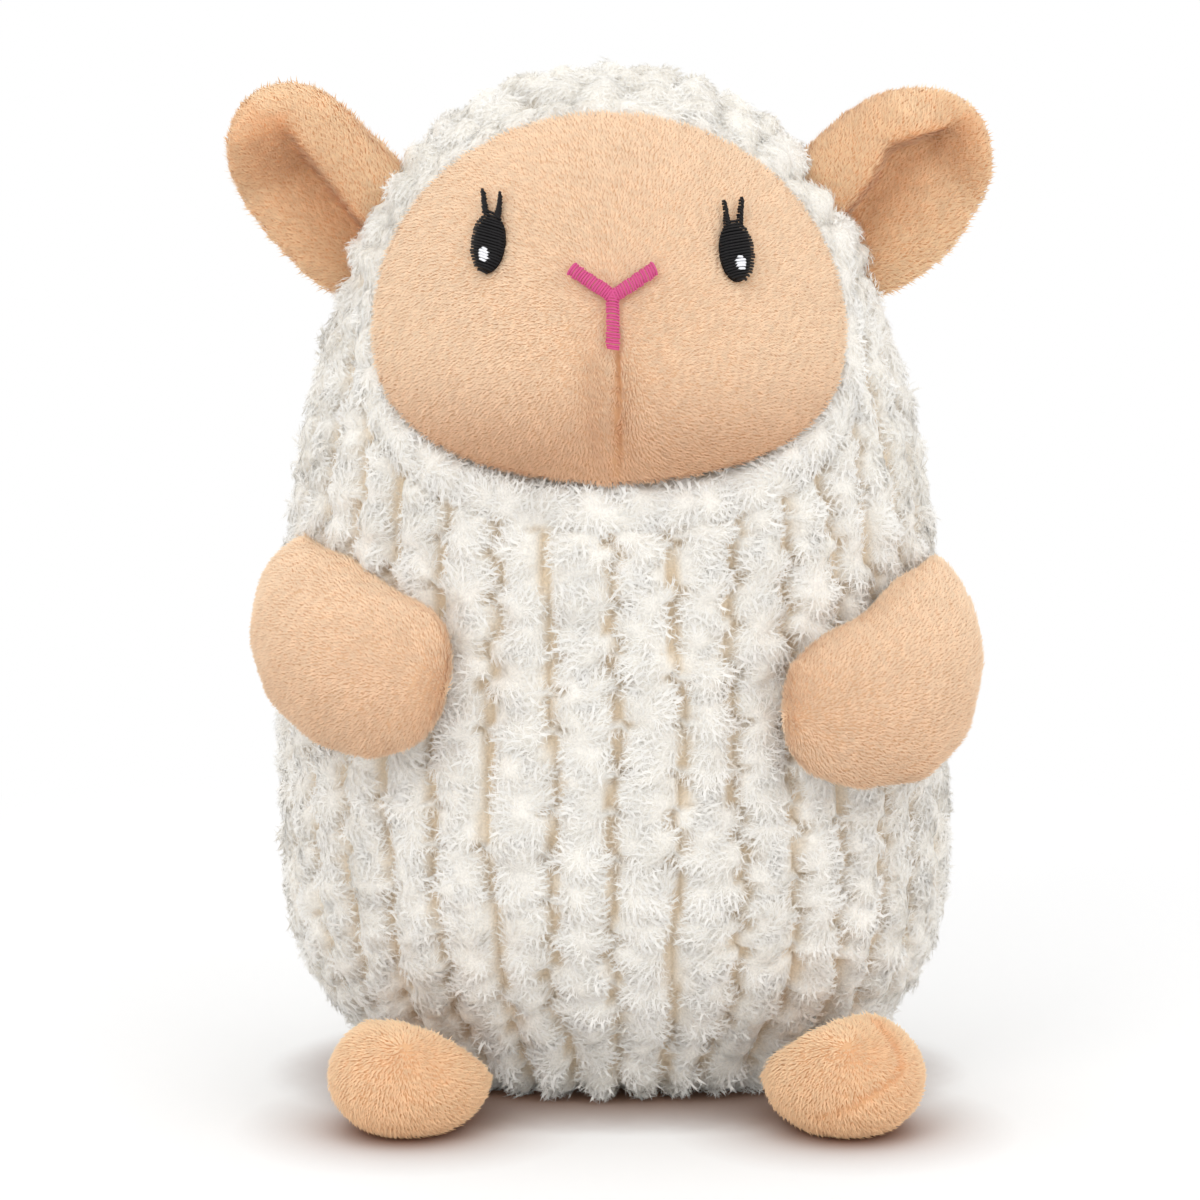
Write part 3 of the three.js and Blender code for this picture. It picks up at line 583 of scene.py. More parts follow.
def makePileTree():
    inputs = {
        "Geometry": "Geometry", "Tuft": "Object", "Apart": 1 * mm, "Length": 3 * mm, "Length Spread": 0.3,
        "Ruffle": 0.4, "Clump": 0.3, "Clump Size": 3 * mm, "Sunk": 0.5 * mm, "Seed": 1, "Material": "Material",
    }
    tree, given, made = newTree("Geometry", "Pile", inputs, {"Geometry": "Geometry"})

    def named(label, kind="FLOAT"):
        return out(place(tree, "GeometryNodeInputNamedAttribute", {"Name": label}, data_type=kind), "Attribute")

    def chance(low, high, offset, kind="FLOAT"):
        values = {"Min": low, "Max": high, "Seed": plus(tree, given["Seed"], offset)}
        return out(place(tree, "FunctionNodeRandomValue", values, data_type=kind), "Value")

    most = maths(tree, "DIVIDE", 2.5, times(tree, given["Apart"], given["Apart"]))
    spots = place(
        tree, "GeometryNodeDistributePointsOnFaces",
        {"Mesh": given["Geometry"], "Seed": given["Seed"]}, distribute_method="POISSON",
    )
    growth = named("growth")
    for key, value in {"Distance Min": given["Apart"], "Density Max": most, "Density Factor": growth}.items():
        tree.links.new(value, spots.inputs[key])
    normal = spots.outputs["Normal"]
    values = {"Geometry": spots.outputs["Points"], "Name": "shade", "Value": chance(0.0, 1.0, 0)}
    shaded = place(tree, "GeometryNodeStoreNamedAttribute", values, data_type="FLOAT", domain="POINT")
    loose = chance((-1.0, -1.0, -1.0), (1.0, 1.0, 1.0), 7, "FLOAT_VECTOR")
    where = out(place(tree, "GeometryNodeInputPosition"))
    values = {"Vector": where, "Scale": maths(tree, "DIVIDE", 1.0, given["Clump Size"]), "Detail": 1.0}
    swirl = out(place(tree, "ShaderNodeTexNoise", values), "Color")
    swirl = scaled(tree, vectorMaths(tree, "SUBTRACT", swirl, (0.5, 0.5, 0.5)), given["Clump"])
    astray = vectorMaths(tree, "ADD", scaled(tree, loose, given["Ruffle"]), swirl)
    upright = times(tree, vectorMaths(tree, "DOT_PRODUCT", astray, normal), 0.85)
    astray = vectorMaths(tree, "SUBTRACT", astray, scaled(tree, normal, upright))
    way = vectorMaths(tree, "NORMALIZE", vectorMaths(tree, "ADD", named("comb", "FLOAT_VECTOR"), astray))
    lie = place(tree, "FunctionNodeAlignRotationToVector", {"Vector": way}, axis="Z")
    values = {"Rotation": out(lie), "Vector": normal}
    laid = place(tree, "FunctionNodeAlignRotationToVector", values, axis="X", pivot_axis="Z")
    size = plus(tree, times(tree, chance(-1.0, 1.0, 31), given["Length Spread"]), 1.0)
    size = times(tree, times(tree, size, given["Length"]), named("reach"))
    inwards = scaled(tree, normal, times(tree, given["Sunk"], -1.0))
    sunk = place(tree, "GeometryNodeSetPosition", {"Geometry": out(shaded), "Offset": inwards})
    tuft = place(tree, "GeometryNodeObjectInfo", {"Object": given["Tuft"], "As Instance": True})
    planted = place(
        tree, "GeometryNodeInstanceOnPoints",
        {"Points": out(sunk), "Instance": out(tuft, "Geometry"), "Rotation": out(laid), "Scale": size},
    )
    endTree(tree, out(planted), given, made)
    return tree


pileTree = makePileTree()


def growPile(skin, name, kind, look, seed, finish):
    values = {**look, "Tuft": tufts[kind], "Seed": seed, "Material": finishes[finish]}
    pile = linkedObject(name, runNodes(skin, pileTree, values))
    points = pointsOf(pile)
    points[:, 2] = np.maximum(points[:, 2], 0.1 * mm)
    setPoints(pile, points)
    print(name, len(pile.data.polygons), "triangles")
    return pile


# A tuft's measures are shares of its length. The looks are the pile tree's own inputs.
tuftShapes = {
    "wool": {
        "blades": 14, "width": 0.052, "fan": 0.6, "hook": 1.3, "lift": 0.22, "droop": 0.22, "twist": 0.25,
        "scatter": 0.25, "seed": 3,
    },
    "plush": {
        "blades": 6, "width": 0.1, "fan": 0.3, "hook": 0.35, "lift": 0.25, "droop": 0.25, "twist": 0.25,
        "scatter": 0.3, "seed": 5,
    },
}
tufts = {kind: makeTuft(f"{kind} tuft", shape) for kind, shape in tuftShapes.items()}
woolLook = {
    "Apart": 1.3 * mm, "Length": 3.7 * mm, "Length Spread": 0.3, "Ruffle": 0.25, "Clump": 0.6,
    "Clump Size": 3 * mm, "Sunk": 0.1 * mm,
}
plushLook = {**woolLook, "Apart": 0.7 * mm, "Length": 2.3 * mm, "Length Spread": 0.25, "Ruffle": 0.2}

# Chenille torso: rows of lobes on the part's own surface.

wool = {
    "rows": 34, "height": 4.3 * mm, "floor": 7.0 * mm, "shoulder": 5.0 * mm, "shoulderShare": 0.4,
    "valley": 1.2 * mm, "step": 1.6 * mm, "wave": 0.07, "waveShare": 0.6, "waveLengths": (17 * mm, 6 * mm),
    "flare": 0.08, "droop": 3 * mm, "lobe": (8 * mm, 13 * mm), "lobeShare": 0.2,
    "bottom": 0.8 * mm, "rim": (2 * mm, 14 * mm), "rimShare": 0.6, "fringe": (3 * mm, 10 * mm),
    "ropeTop": 203 * mm, "ringMiddle": 5.6 * mm, "ringHalf": 6.2 * mm, "ringLobe": 9.5 * mm, "ringDip": 0.25,
    # The crown's tone share keeps painted valley shade lighter on the crown.
    "crownGap": 9.6 * mm, "crownRadius": 7.4 * mm, "crownShare": 1.35, "crownLift": 0.3, "crownTone": 0.45,
    "crownPower": 0.55, "crownFade": (-5 * mm, 3 * mm), "crownClear": 1.9, "faceFade": (0.97, 1.03),
    "tuftGap": 5.4 * mm, "tuftRise": 1.0 * mm, "tuftReach": 0.65, "lift": 0.18, "fan": 0.25, "sweep": 0.9,
    "hang": 0.35, "downhill": 0.6, "overhang": 0.7, "wall": 2 * mm, "cut": 105 * mm, "seed": 11,
    "floorFade": (1.5 * mm, 5.5 * mm), "bald": 0.35, "baldFade": (0.1, 0.6), "valleyShadeFade": (0.0, 0.55),
    "shortest": 0.4, "crownShort": 0.2,
}


# Heights of rings that lie evenly along the torso's side, from its lower rim to its top.
def profileHeights(step):
    low = np.linspace(wool["bottom"], torso["widest"], 400, endpoint=False)
    high = torso["widest"] + (torso["height"] - torso["widest"]) * np.sin(np.linspace(0, math.pi / 2, 1200))
    z = np.concatenate([low, high])
    r = torso["width"] / 2 * swell(z, 0, torso["sideRoundness"])
    length = np.concatenate([[0], np.cumsum(np.hypot(np.diff(z), np.diff(r)))])
    count = round(length[-1] / step)
    return np.interp(np.linspace(0, length[-1], count + 1), length, z)


# A lobe is widest at its lower end, 1, and tucks under the next one at its upper end, -1.
def lobeSteps(draw, at):
    ends = np.cumsum(draw.uniform(*wool["lobe"], 80)) - draw.uniform(0, wool["lobe"][1])
    index = np.searchsorted(ends, at)
    start = np.concatenate([[ends[0] - wool["lobe"][1]], ends])[index]
    return 1 - 2 * (at - start) / (ends[index] - start)


def ropeField(angle, rings, pitch):
    draw = np.random.default_rng(wool["seed"])
    rows = wool["rows"]
    at = wool["step"] * np.arange(rings)
    lobes = np.array([lobeSteps(draw, at) for _ in range(rows)])
    phases = draw.uniform(0, 2 * math.pi, (rows, 2))
    slow, quick = (at / length for length in wool["waveLengths"])
    waves = [wool["wave"] * (np.sin(slow + a) + wool["waveShare"] * np.sin(quick + b)) for a, b in phases]
    valleys = np.array(waves) + wool["flare"] * (np.roll(lobes, 1, axis=0) - lobes)
    row = (angle * rows / (2 * math.pi)).astype(int)
    within = angle * rows / (2 * math.pi) - row
    toLeft = within - valleys[row % rows].T
    toRight = 1 + valleys[(row + 1) % rows].T - within
    rope = np.where(toLeft < 0, row - 1, np.where(toRight < 0, row + 1, row)) % rows
    gap = np.minimum(np.abs(toLeft), np.abs(toRight)) * pitch
    droop = wool["droop"] / wool["step"] * (1 - (2 * np.clip(within, 0, 1) - 1) ** 2)
    sample = np.minimum(np.arange(rings)[:, None] + droop, rings - 1.001)
    below = sample.astype(int)
    lobe = lobes[rope, below] + (sample - below) * (lobes[rope, below + 1] - lobes[rope, below])
    share = np.clip((gap - wool["valley"]) / np.minimum(wool["shoulder"], wool["shoulderShare"] * pitch), 0, 1)
    return np.sqrt(1 - (1 - share) ** 2) * (1 - wool["lobeShare"] * (1 - lobe))


def treeOf(points):
    tree = KDTree(len(points))
    for index, point in enumerate(points):
        tree.insert(point, index)
    tree.balance()
    return tree


def nearestTo(tree, points):
    found = [tree.find(p) for p in points]
    return np.array([f[1] for f in found]), np.array([f[2] for f in found])


def scatter(draw, points, gap):
    kept, cells = [], {}
    for index in draw.permutation(len(points)):
        x, y, z = (points[index] // gap).astype(int)
        near = [cells.get((x + i, y + j, z + k), []) for i in (-1, 0, 1) for j in (-1, 0, 1) for k in (-1, 0, 1)]
        if all(math.dist(points[index], other) > gap for group in near for other in group):
            kept.append(index)
            cells.setdefault((x, y, z), []).append(points[index])
    return np.array(kept)


# Distance from the face's edge, and the lobes of the rope that follows it.
def ringField(surface):
    turns = np.linspace(0, 2 * math.pi, 600, endpoint=False)
    across, up = faceEdge(turns)
    z = face["widest"] + up
    outline = np.stack([middleAt(z) + across, -torsoFront(middleAt(z) + across, z), z], -1)
    along = np.concatenate([[0], np.cumsum(np.linalg.norm(np.diff(outline, axis=0), axis=1))])
    nearest, gap = nearestTo(treeOf(outline), surface)
    bump = np.abs(np.sin(math.pi * along[nearest] / wool["ringLobe"]))
    side = np.clip((gap - wool["ringMiddle"]) / wool["ringHalf"], -1, 1)
    return np.sqrt(1 - side**2) * (1 - wool["ringDip"] * (1 - bump) ** 2), gap


def crownField(draw, surface, gap):
    able = (surface[:, 2] > wool["ropeTop"] - 2 * mm) & (gap > wool["crownClear"] * wool["ringMiddle"])
    able &= (faceShare(surface[:, 0], surface[:, 2]) > 1.06) | (surface[:, 1] > 0)
    spots = surface[able][scatter(draw, surface[able], wool["crownGap"])]
    _, away = nearestTo(treeOf(spots), surface)
    return np.maximum(0, 1 - (away / wool["crownRadius"]) ** 2) ** wool["crownPower"]


def makeWool():
    z = profileHeights(wool["step"])[:-1]
    around = round(math.pi * (torso["width"] + torso["belly"] + torso["back"]) / 2 / wool["step"])
    angle, rings = turnsOf(around), len(z)
    grid = torsoPoints(angle[None], z[:, None])
    pitch = np.linalg.norm(np.roll(grid, -1, axis=1) - grid, axis=-1) * around / wool["rows"]
    surface = np.concatenate([grid.reshape(-1, 3), [[middleAt(torso["height"]), 0, torso["height"]]]])
    faces = [f[:1] + f[:0:-1] for f in ringFaces(0, rings, around)]
    last = (rings - 1) * around
    faces += [(last + k, last + (k + 1) % around, len(surface) - 1) for k in range(around)]
    whole = makeObject("wool", surface, faces)
    normals = normalsOf(whole)
    draw = np.random.default_rng(wool["seed"] + 1)
    ring, gap = ringField(surface)
    edge = wool["ringMiddle"] + wool["ringHalf"]
    ropes = np.append(ropeField(angle, rings, pitch).ravel(), 0) * smoothStep(gap, edge - 1 * mm, edge + 1 * mm)
    crown = crownField(draw, surface, gap)
    high = smoothStep(surface[:, 2], *(wool["ropeTop"] + end for end in wool["crownFade"]))
    lift = np.maximum(ring, np.maximum(ropes * (1 - high), wool["crownShare"] * crown * high))
    share = np.where(surface[:, 1] < 0, faceShare(surface[:, 0], surface[:, 2]), 9)
    under = 1 - smoothStep(share, *wool["faceFade"])
    lift = lift * (1 - under)
    spots = scatter(draw, surface, wool["tuftGap"])
    nearest, away = nearestTo(treeOf(surface[spots]), surface)
    dome = wool["tuftRise"] * np.maximum(0, 1 - (away / (wool["tuftReach"] * wool["tuftGap"])) ** 2) * lift
    rim = 1 - smoothStep(surface[:, 2], wool["rim"][0], wool["rim"][1])
    rise = wool["height"] * lift + dome - wool["floor"] * (1 - wool["rimShare"] * rim) - wool["wall"] * under
    points = surface + normals * rise[:, None]
    setPoints(whole, points)
    raised = normalsOf(whole)
    fan = (surface - surface[spots][nearest]) / wool["tuftGap"]
    sweep = unit(draw.normal(size=(len(spots), 3)))[nearest]
    slope = alongSurface(raised, normals)
    flow = wool["fan"] * fan + wool["sweep"] * sweep + wool["downhill"] * slope
    flow = flow + wool["hang"] * np.array([0, 0, -1])
    inwards = unit(np.array([middleAt(face["widest"]), -torso["belly"], face["widest"]]) - surface)
    flow += wool["overhang"] * bell(gap, wool["ringMiddle"])[:, None] * inwards
    flow = alongSurface(flow, raised)
    stand = wool["lift"] + (wool["crownLift"] - wool["lift"]) * high
    comb = unit(stand[:, None] * raised + unit(flow))
    outwards = unit((surface - [middleAt(torso["widest"]), 0, 0]) * [1, 1, 0])
    fringe = 1 - smoothStep(surface[:, 2], *wool["fringe"])[:, None]
    comb = unit(comb * (1 - fringe) + fringe * (outwards + 0.3 * comb + np.array([0, 0, -0.5])))
    # Near the floor a strand points down only a little, so that it doesn't reach through it.
    lowest = -0.15 - 0.85 * smoothStep(points[:, 2], *wool["floorFade"])
    comb[:, 2] = np.maximum(comb[:, 2], lowest)
    bpy.data.objects.remove(whole)
    return faces, points, surface, unit(comb), lift, share, high


def splitWool():
    faces, points, surface, comb, height, share, high = makeWool()
    middles = np.array([surface[list(f)].mean(0) for f in faces])
    outside = np.array([share[list(f)].min() for f in faces]) > 0.9
    crown = middles[:, 2] > torso["crownSeam"]
    front = middles[:, 1] < torso["sideSeam"]
    left = middles[:, 0] > middleAt(middles[:, 2])
    sections = {
        "front": (~crown & front, "front_panel"),
        "back_left": (~crown & ~front & left, "left_back_panel"),
        "back_right": (~crown & ~front & ~left, "right_back_panel"),
        "crown": (crown, "crown_panel"),
    }
    seed = 101
    for name, (mask, node) in sections.items():
        chosen = [faces[i] for i in np.nonzero(mask & outside)[0]]
        used = np.unique(np.concatenate([np.array(f) for f in chosen]))
        index = {int(v): i for i, v in enumerate(used)}
        skin = makeObject(f"wool_{name}", points[used], [tuple(index[v] for v in f) for f in chosen])
        tall, top = height[used], high[used]
        thick = wool["bald"] + (1 - wool["bald"]) * smoothStep(tall, *wool["baldFade"])
        growth = np.where(share[used] < 0.99, 0.0, thick)
        reach = (wool["shortest"] + 0.65 * smoothStep(tall, 0.0, 0.8)) * (1 - wool["crownShort"] * top)
        # Painted shade: in the valleys between ropes the height attribute falls, so the tone goes to the painted
        # shade colour, less so on the crown.
        tone = np.maximum(smoothStep(tall, *wool["valleyShadeFade"]), wool["crownTone"] * top)
        setAttributes(skin, comb=comb[used], height=tone, reach=reach)
        wear(skin, finishes["woolSkin"])
        low = surface[used][:, 2] < wool["cut"]
        toLeft = surface[used][:, 0] > middleAt(surface[used][:, 2])
        parts = {"low": low, "high": ~low}
        if name == "front":
            halves = (("", toLeft), ("_right", ~toLeft))
            parts = {part + end: kept & half for part, kept in parts.items() for end, half in halves}
        for part, kept in parts.items():
            if kept.any():
                setAttributes(skin, growth=growth * kept)
                pile = growPile(skin, f"wool_{name}_{part}_pile", "wool", woolLook, seed, "wool")
                settle(pile, "torso")
            seed += 1
        withModifier(skin, "SOLIDIFY", thickness=wool["wall"], offset=-1, use_rim=True)
        settle(skin, "torso", [node])


splitWool()
print("wool ready")

# How far spots are from a line through the given corners.
def fromLine(spots, corners):
    nearest = np.full(len(spots), np.inf)
    for start, end in zip(corners[:-1], corners[1:]):
        start, way = np.array(start), np.array(end) - np.array(start)
        t = np.clip(((spots - start) @ way) / (way @ way), 0, 1)
        nearest = np.minimum(nearest, np.linalg.norm(spots - start - t[:, None] * way, axis=1))
    return nearest


# Embroidery: satin stitches that follow the face.

embroidery = {
    "pitch": 0.66 * mm, "thread": 0.33 * mm, "offset": 1 * mm, "arch": 0.55 * mm, "fullArch": 1.5 * mm,
    "dip": 0.5 * mm, "uneven": 0.16 * mm, "patchShare": 0.97, "patchWall": 1.2 * mm,
    "proud": {
        "stem": 0.25 * mm, "branch": 0.3 * mm, "eye": 0.25 * mm, "lash": 0.45 * mm, "patch": 0.6 * mm,
        "glint": 0.75 * mm,
    },
    # Where no pile grows: shares of the nose and the eye, and how near to a lash.
    "bare": {"nose": 0.93, "eye": 1.04, "lash": 0.6 * mm},
    "nose": {"height": 199.5 * mm, "stroke": 2.8 * mm, "tipRise": 6.3 * mm, "tipOffset": 9.8 * mm, "stem": 12 * mm},
    "eye": {"offset": 29 * mm, "width": 7.8 * mm, "length": 13.6 * mm},
    "lash": {"width": (1.3 * mm, 0.5 * mm), "length": 5.6 * mm, "rootShare": 0.42, "spreadShare": 0.18},
    "glint": {"width": 2.6 * mm, "length": 3.2 * mm, "dropShare": 0.22},
    "eyes": {"left": (1, 209 * mm, math.radians(9)), "right": (-1, 211 * mm, math.radians(10))},
}


def makeThreadTree():
    inputs = {"Geometry": "Geometry", "Radius": 0.2 * mm, "Sides": 6, "Material": "Material"}
    tree, given, made = newTree("Geometry", "Thread", inputs, {"Geometry": "Geometry"})
    lines = place(tree, "GeometryNodeMeshToCurve", {"Mesh": given["Geometry"]})
    ring = {"Resolution": given["Sides"], "Radius": given["Radius"]}
    ring = place(tree, "GeometryNodeCurvePrimitiveCircle", ring)
    values = {"Curve": out(lines), "Profile Curve": out(ring), "Fill Caps": True}
    endTree(tree, out(place(tree, "GeometryNodeCurveToMesh", values)), given, made)
    return tree


threadTree = makeThreadTree()


def satin(start, end, halfWidth, proud, seed, slant=0.25):
    draw = np.random.default_rng(seed)
    pitch = embroidery["pitch"]
    start, end = np.array(start), np.array(end)
    length = np.linalg.norm(end - start)
    along = (end - start) / length
    side = np.array([-along[1], along[0]])
    count = max(3, round(length / pitch))
    s = np.linspace(-1, 1, 7)
    lines = []
    for i in range(count):
        t = (i + 0.5) / count
        half = halfWidth(t)
        low, high = half + embroidery["uneven"] * draw.uniform(-1, 1, 2)
        lean = slant * pitch * s + draw.uniform(-0.1, 0.1) * pitch
        flat = start + along * (t * length) + np.outer(np.where(s < 0, s * low, s * high), side)
        flat = flat + np.outer(lean, along)
        arch = embroidery["arch"] * np.sqrt(np.maximum(0, 1 - s**2)) * min(1, half / embroidery["fullArch"])
        rise = proud + arch - embroidery["dip"] * np.abs(s) ** 6
        lines.append(facePoints(flat[:, 0], flat[:, 1], -rise))
    return lines


def sew(name, lines, finish, node, patch=None):
    edges, first = [], 0
    for line in lines:
        edges += [(first + i, first + i + 1) for i in range(len(line) - 1)]
        first += len(line)
    piece = makeObject(name, np.concatenate(lines), [], edges)
    values = {"Radius": embroidery["thread"], "Sides": 6, "Material": finishes[finish]}
    piece.data = runNodes(piece, threadTree, values)
    if patch:
        with opened(piece.data) as work:
            work.from_mesh(patch.data)
        bpy.data.objects.remove(patch)
    wear(piece, finishes[finish])
    piece.data.shade_smooth()
    settle(piece, "torso", [node])


def patchUnder(x, z, width, length, tilt, proud):
    around, rings = 32, 5
    turn = turnsOf(around)
    points = [facePoints(np.array([x]), np.array([z]), np.array([-proud]))[0]]
    for share in np.arange(1, rings + 1) / rings:
        across, up = width / 2 * share * np.cos(turn), length / 2 * share * np.sin(turn)
        dome = proud * np.sqrt(np.maximum(0, 1 - share**4)) - embroidery["patchWall"] * (share == 1)
        sideways = x + across * math.cos(tilt) - up * math.sin(tilt)
        upwards = z + across * math.sin(tilt) + up * math.cos(tilt)
        points += list(facePoints(sideways, upwards, -dome + 0 * turn))
    last = 1 + (rings - 1) * around
    bottom = tuple(last + k for k in range(around))[::-1]
    return makeObject("patch", points, discFaces(rings, around) + [bottom])


def noseMiddle():
    return middleAt(embroidery["nose"]["height"]) + embroidery["offset"]


# An eye's centre, and its ways up and across.
def eyeAxes(side, height, tilt):
    lie = side * tilt
    centre = np.array([middleAt(height) + embroidery["offset"] + side * embroidery["eye"]["offset"], height])
    return centre, np.array([-math.sin(lie), math.cos(lie)]), np.array([math.cos(lie), math.sin(lie)])


def lashLines(centre, up, across):
    eye, lash = embroidery["eye"], embroidery["lash"]
    for way in (-1, 1):
        spread = way * lash["spreadShare"] * eye["width"]
        root = centre + up * lash["rootShare"] * eye["length"] + across * spread
        yield way, root, root + np.array([spread / 2, lash["length"]])


def satinOval(centre, up, form, least, proud, seed):
    half = lambda t: form["width"] / 2 * math.sqrt(max(least, 1 - (2 * t - 1) ** 2))
    return satin(centre - up * form["length"] / 2, centre + up * form["length"] / 2, half, proud, seed)


def makeEmbroidery():
    nose, eye, lash, glint, proud = [embroidery[key] for key in ("nose", "eye", "lash", "glint", "proud")]
    middle, height, half = noseMiddle(), nose["height"], nose["stroke"] / 2
    stem = (middle, height - nose["stem"])
    lines = satin((middle, height + half), stem, lambda t: half * 0.95, proud["stem"], 21)
    for side in (-1, 1):
        tip = (middle + side * nose["tipOffset"], height + nose["tipRise"])
        lines += satin((middle, height), tip, lambda t: half, proud["branch"], 22 + side)
    sew("nose_stitches", lines, "pink", "nose_embroidery")
    wide = lambda t: (lash["width"][0] + (lash["width"][1] - lash["width"][0]) * t) / 2
    for name, (side, height, tilt) in embroidery["eyes"].items():
        centre, up, across = eyeAxes(side, height, tilt)
        lines = satinOval(centre, up, eye, 0.02, proud["eye"], 31 + side)
        for way, root, tip in lashLines(centre, up, across):
            lines += satin(root, tip, wide, proud["lash"], 41 + side * way, 0.8)
        size = [embroidery["patchShare"] * eye[key] for key in ("width", "length")]
        patch = patchUnder(centre[0], height, *size, side * tilt, proud["patch"])
        sew(f"{name}_eye_stitches", lines, "black", f"{name}_eye", patch)
        spot = centre - up * glint["dropShare"] * eye["length"]
        lines = satinOval(spot, up, glint, 0.25, proud["glint"], 51 + side)
        sew(f"{name}_glint_stitches", lines, "white", f"{name}_eye_glint")


# Where stitches cover the face, so that no pile grows there.
def underStitches(x, z):
    nose, eye, bare = embroidery["nose"], embroidery["eye"], embroidery["bare"]
    middle, height, half = noseMiddle(), nose["height"], nose["stroke"] / 2
    spot = np.stack([x, z], -1)
    covered = fromLine(spot, [(middle, height), (middle, height - nose["stem"] + half)]) < half
    for side in (-1, 1):
        tip = (middle + side * nose["tipOffset"] * bare["nose"], height + nose["tipRise"] * bare["nose"])
        covered |= fromLine(spot, [(middle, height), tip]) < half
    for row in embroidery["eyes"].values():
        centre, up, across = eyeAxes(*row)
        a, b = (spot - centre) @ across, (spot - centre) @ up
        covered |= (2 * a / eye["width"]) ** 2 + (2 * b / eye["length"]) ** 2 < bare["eye"]
        for _, root, tip in lashLines(centre, up, across):
            covered |= fromLine(spot, [root, tip]) < bare["lash"]
    return covered


makeEmbroidery()
print("embroidery ready")

# Face.

faceCloth = {
    "rings": 66, "around": 220, "sunk": 1.9 * mm, "wall": 2.2 * mm, "lean": 2.2, "crease": 0.5 * mm,
    "creaseFade": 2 * mm, "groove": 0.8 * mm, "shade": 0.6, "thin": 0.7,
    "look": {**plushLook, "Apart": 0.66 * mm, "Length": 2.2 * mm},
}


def makeFace():
    rings, around = faceCloth["rings"], faceCloth["around"]
    across, up = faceEdge(turnsOf(around))
    shares = np.arange(1, rings + 1) / rings
    z = face["widest"] + np.outer(shares, up)
    x = middleAt(z) + np.outer(shares, across)
    x = np.concatenate([[middleAt(face["widest"])], x.ravel()])
    z = np.concatenate([[face["widest"]], z.ravel()])
    depths = (faceCloth["sunk"], faceCloth["sunk"] + faceCloth["wall"])
    layers = [facePoints(x, z, depth) for depth in depths]
    skin = makeObject("face_plush", np.concatenate(layers), shellFaces(rings, around))
    count, normals = len(x), faceNormals(x, z)
    nose = embroidery["nose"]
    fromX, fromZ = x - middleAt(z), z - nose["height"]
    stem = nose["height"] - nose["stem"]
    below = 1 - smoothStep(z, stem - faceCloth["creaseFade"], stem + faceCloth["creaseFade"])
    line = below * bell(fromX - embroidery["offset"], faceCloth["crease"])
    side = np.sign(fromX - embroidery["offset"])
    flow = np.stack([fromX + 0.25 * side * mm, 0 * x, np.where(fromZ > 0, fromZ, 0.35 * fromZ)], -1)
    flow = unit(flow) + 2 * (line * side)[:, None] * np.array([1, 0, 0])
    flow = unit(alongSurface(flow, normals))
    comb = unit(normals + faceCloth["lean"] * flow)
    growth = np.where(underStitches(x, z), 0.0, 1 - faceCloth["thin"] * line)
    grooved = pointsOf(skin)
    grooved[:count] -= normals * (faceCloth["groove"] * line)[:, None]
    setPoints(skin, grooved)
    # Painted shade: through the height attribute the tone is deeper along the crease under the nose and towards the
    # bottom of the face.
    low = faceCloth["shade"] * (1 - smoothStep(z, face["bottom"], face["widest"]))
    setAttributes(
        skin, comb=np.concatenate([comb, -comb]), growth=np.concatenate([growth, 0 * x]),
        reach=np.ones(2 * count), height=np.concatenate([(1 - line) * (1 - low), 1 + 0 * x]),
    )
    wear(skin, finishes["plushSkin"])
    pile = growPile(skin, "face_pile", "plush", faceCloth["look"], 201, "plush")
    settle(skin, "torso", ["face_panel"])
    settle(pile, "torso")


makeFace()
print("face ready")

# Ears, arms and feet: skins. Arms and feet are made from their solids and stuffed; ears are made from their
# outlines.

limbs = {
    "arm": {
        "layers": ("outer", "inner"), "voxel": 2 * mm, "sunk": 1.3 * mm, "plump": 1.4 * mm, "seam": 0.3 * mm,
        "finish": "plush", "length": 2.2 * mm, "smoothing": 8, "finer": 1, "shade": 0.3,
        "whorl": (-24 * mm, -18 * mm, -6 * mm), "seamWidth": 1.4 * mm,
    },
    "foot": {
        "layers": ("upper", "sole"), "voxel": 1.8 * mm, "sunk": 0.2 * mm, "plump": 1.6 * mm,
        "finish": "deepPlush", "length": 2.4 * mm, "smoothing": 8, "finer": 1, "shade": 0.4,
        "whorl": (0, -14 * mm, 10 * mm), "sole": 1.5 * mm,
    },
    "ear": {
        "layers": ("back", "lining"), "voxel": 1.1 * mm, "sunk": 1.0 * mm, "plump": 0.0,
        "finish": "deepPlush", "length": 2.8 * mm, "smoothing": 2, "finer": 0, "fanning": 30 * mm,
    },
}
stuffing = {"frames": 20, "pressure": 4.0, "stiffness": 15.0, "bending": 0.5, "mass": 0.3, "sewn": 0.8 * mm}
# How an arm's stuffing fills it out, seen from the front: x and z of a spot, and how far it moves, in mm. "press"
# is how far the arm leans into the wool.
armFill = {
    "press": 2.5 * mm, "spread": 9.0,
    "right_arm": [
        (-80, 142, 5.8, -0.4), (-71, 134, 8.2, -0.2), (-63, 125, 9.3, 3.5), (-54, 120, 9.7, 3.5),
        (-46, 112, 4.5, 2.3), (-43, 102, 0.5, 1.6), (-48, 93, 0.6, 2.3), (-60, 87, 0.6, 1.9), (-73, 90, 0.0, 3.3),
        (-83, 99, 1.3, 1.2), (-90, 119, 1.3, 0.0), (-87, 133, 1.6, -0.8),
    ],
    "left_arm": [
        (77, 137, -1.9, 0.0), (69, 132, -1.6, 0.4), (61, 124, -1.4, 2.3), (53, 119, -1.9, 2.7),
        (45, 113, -2.5, 2.5), (41, 103, -1.6, 1.2), (42, 93, -0.4, -0.4), (50, 84, 0.2, 0.0), (59, 82, 0.2, 0.2),
        (72, 87, 1.9, -1.2), (77, 92, 2.2, -1.7), (85, 103, 0.6, -0.4), (87, 116, 0.1, -0.6),
        (84, 131, -1.2, -0.8),
    ],
}
# The seam that shows on one foot, as x and z of points on its front.
footSeam = {
    "foot": "left_foot", "width": 0.8 * mm, "depth": 0.5 * mm,
    "points": np.array([(58.8, 28.5), (64.8, 22.8), (66.2, 18.1), (58.1, 13.1), (46.6, 7.4)]) * mm,
}


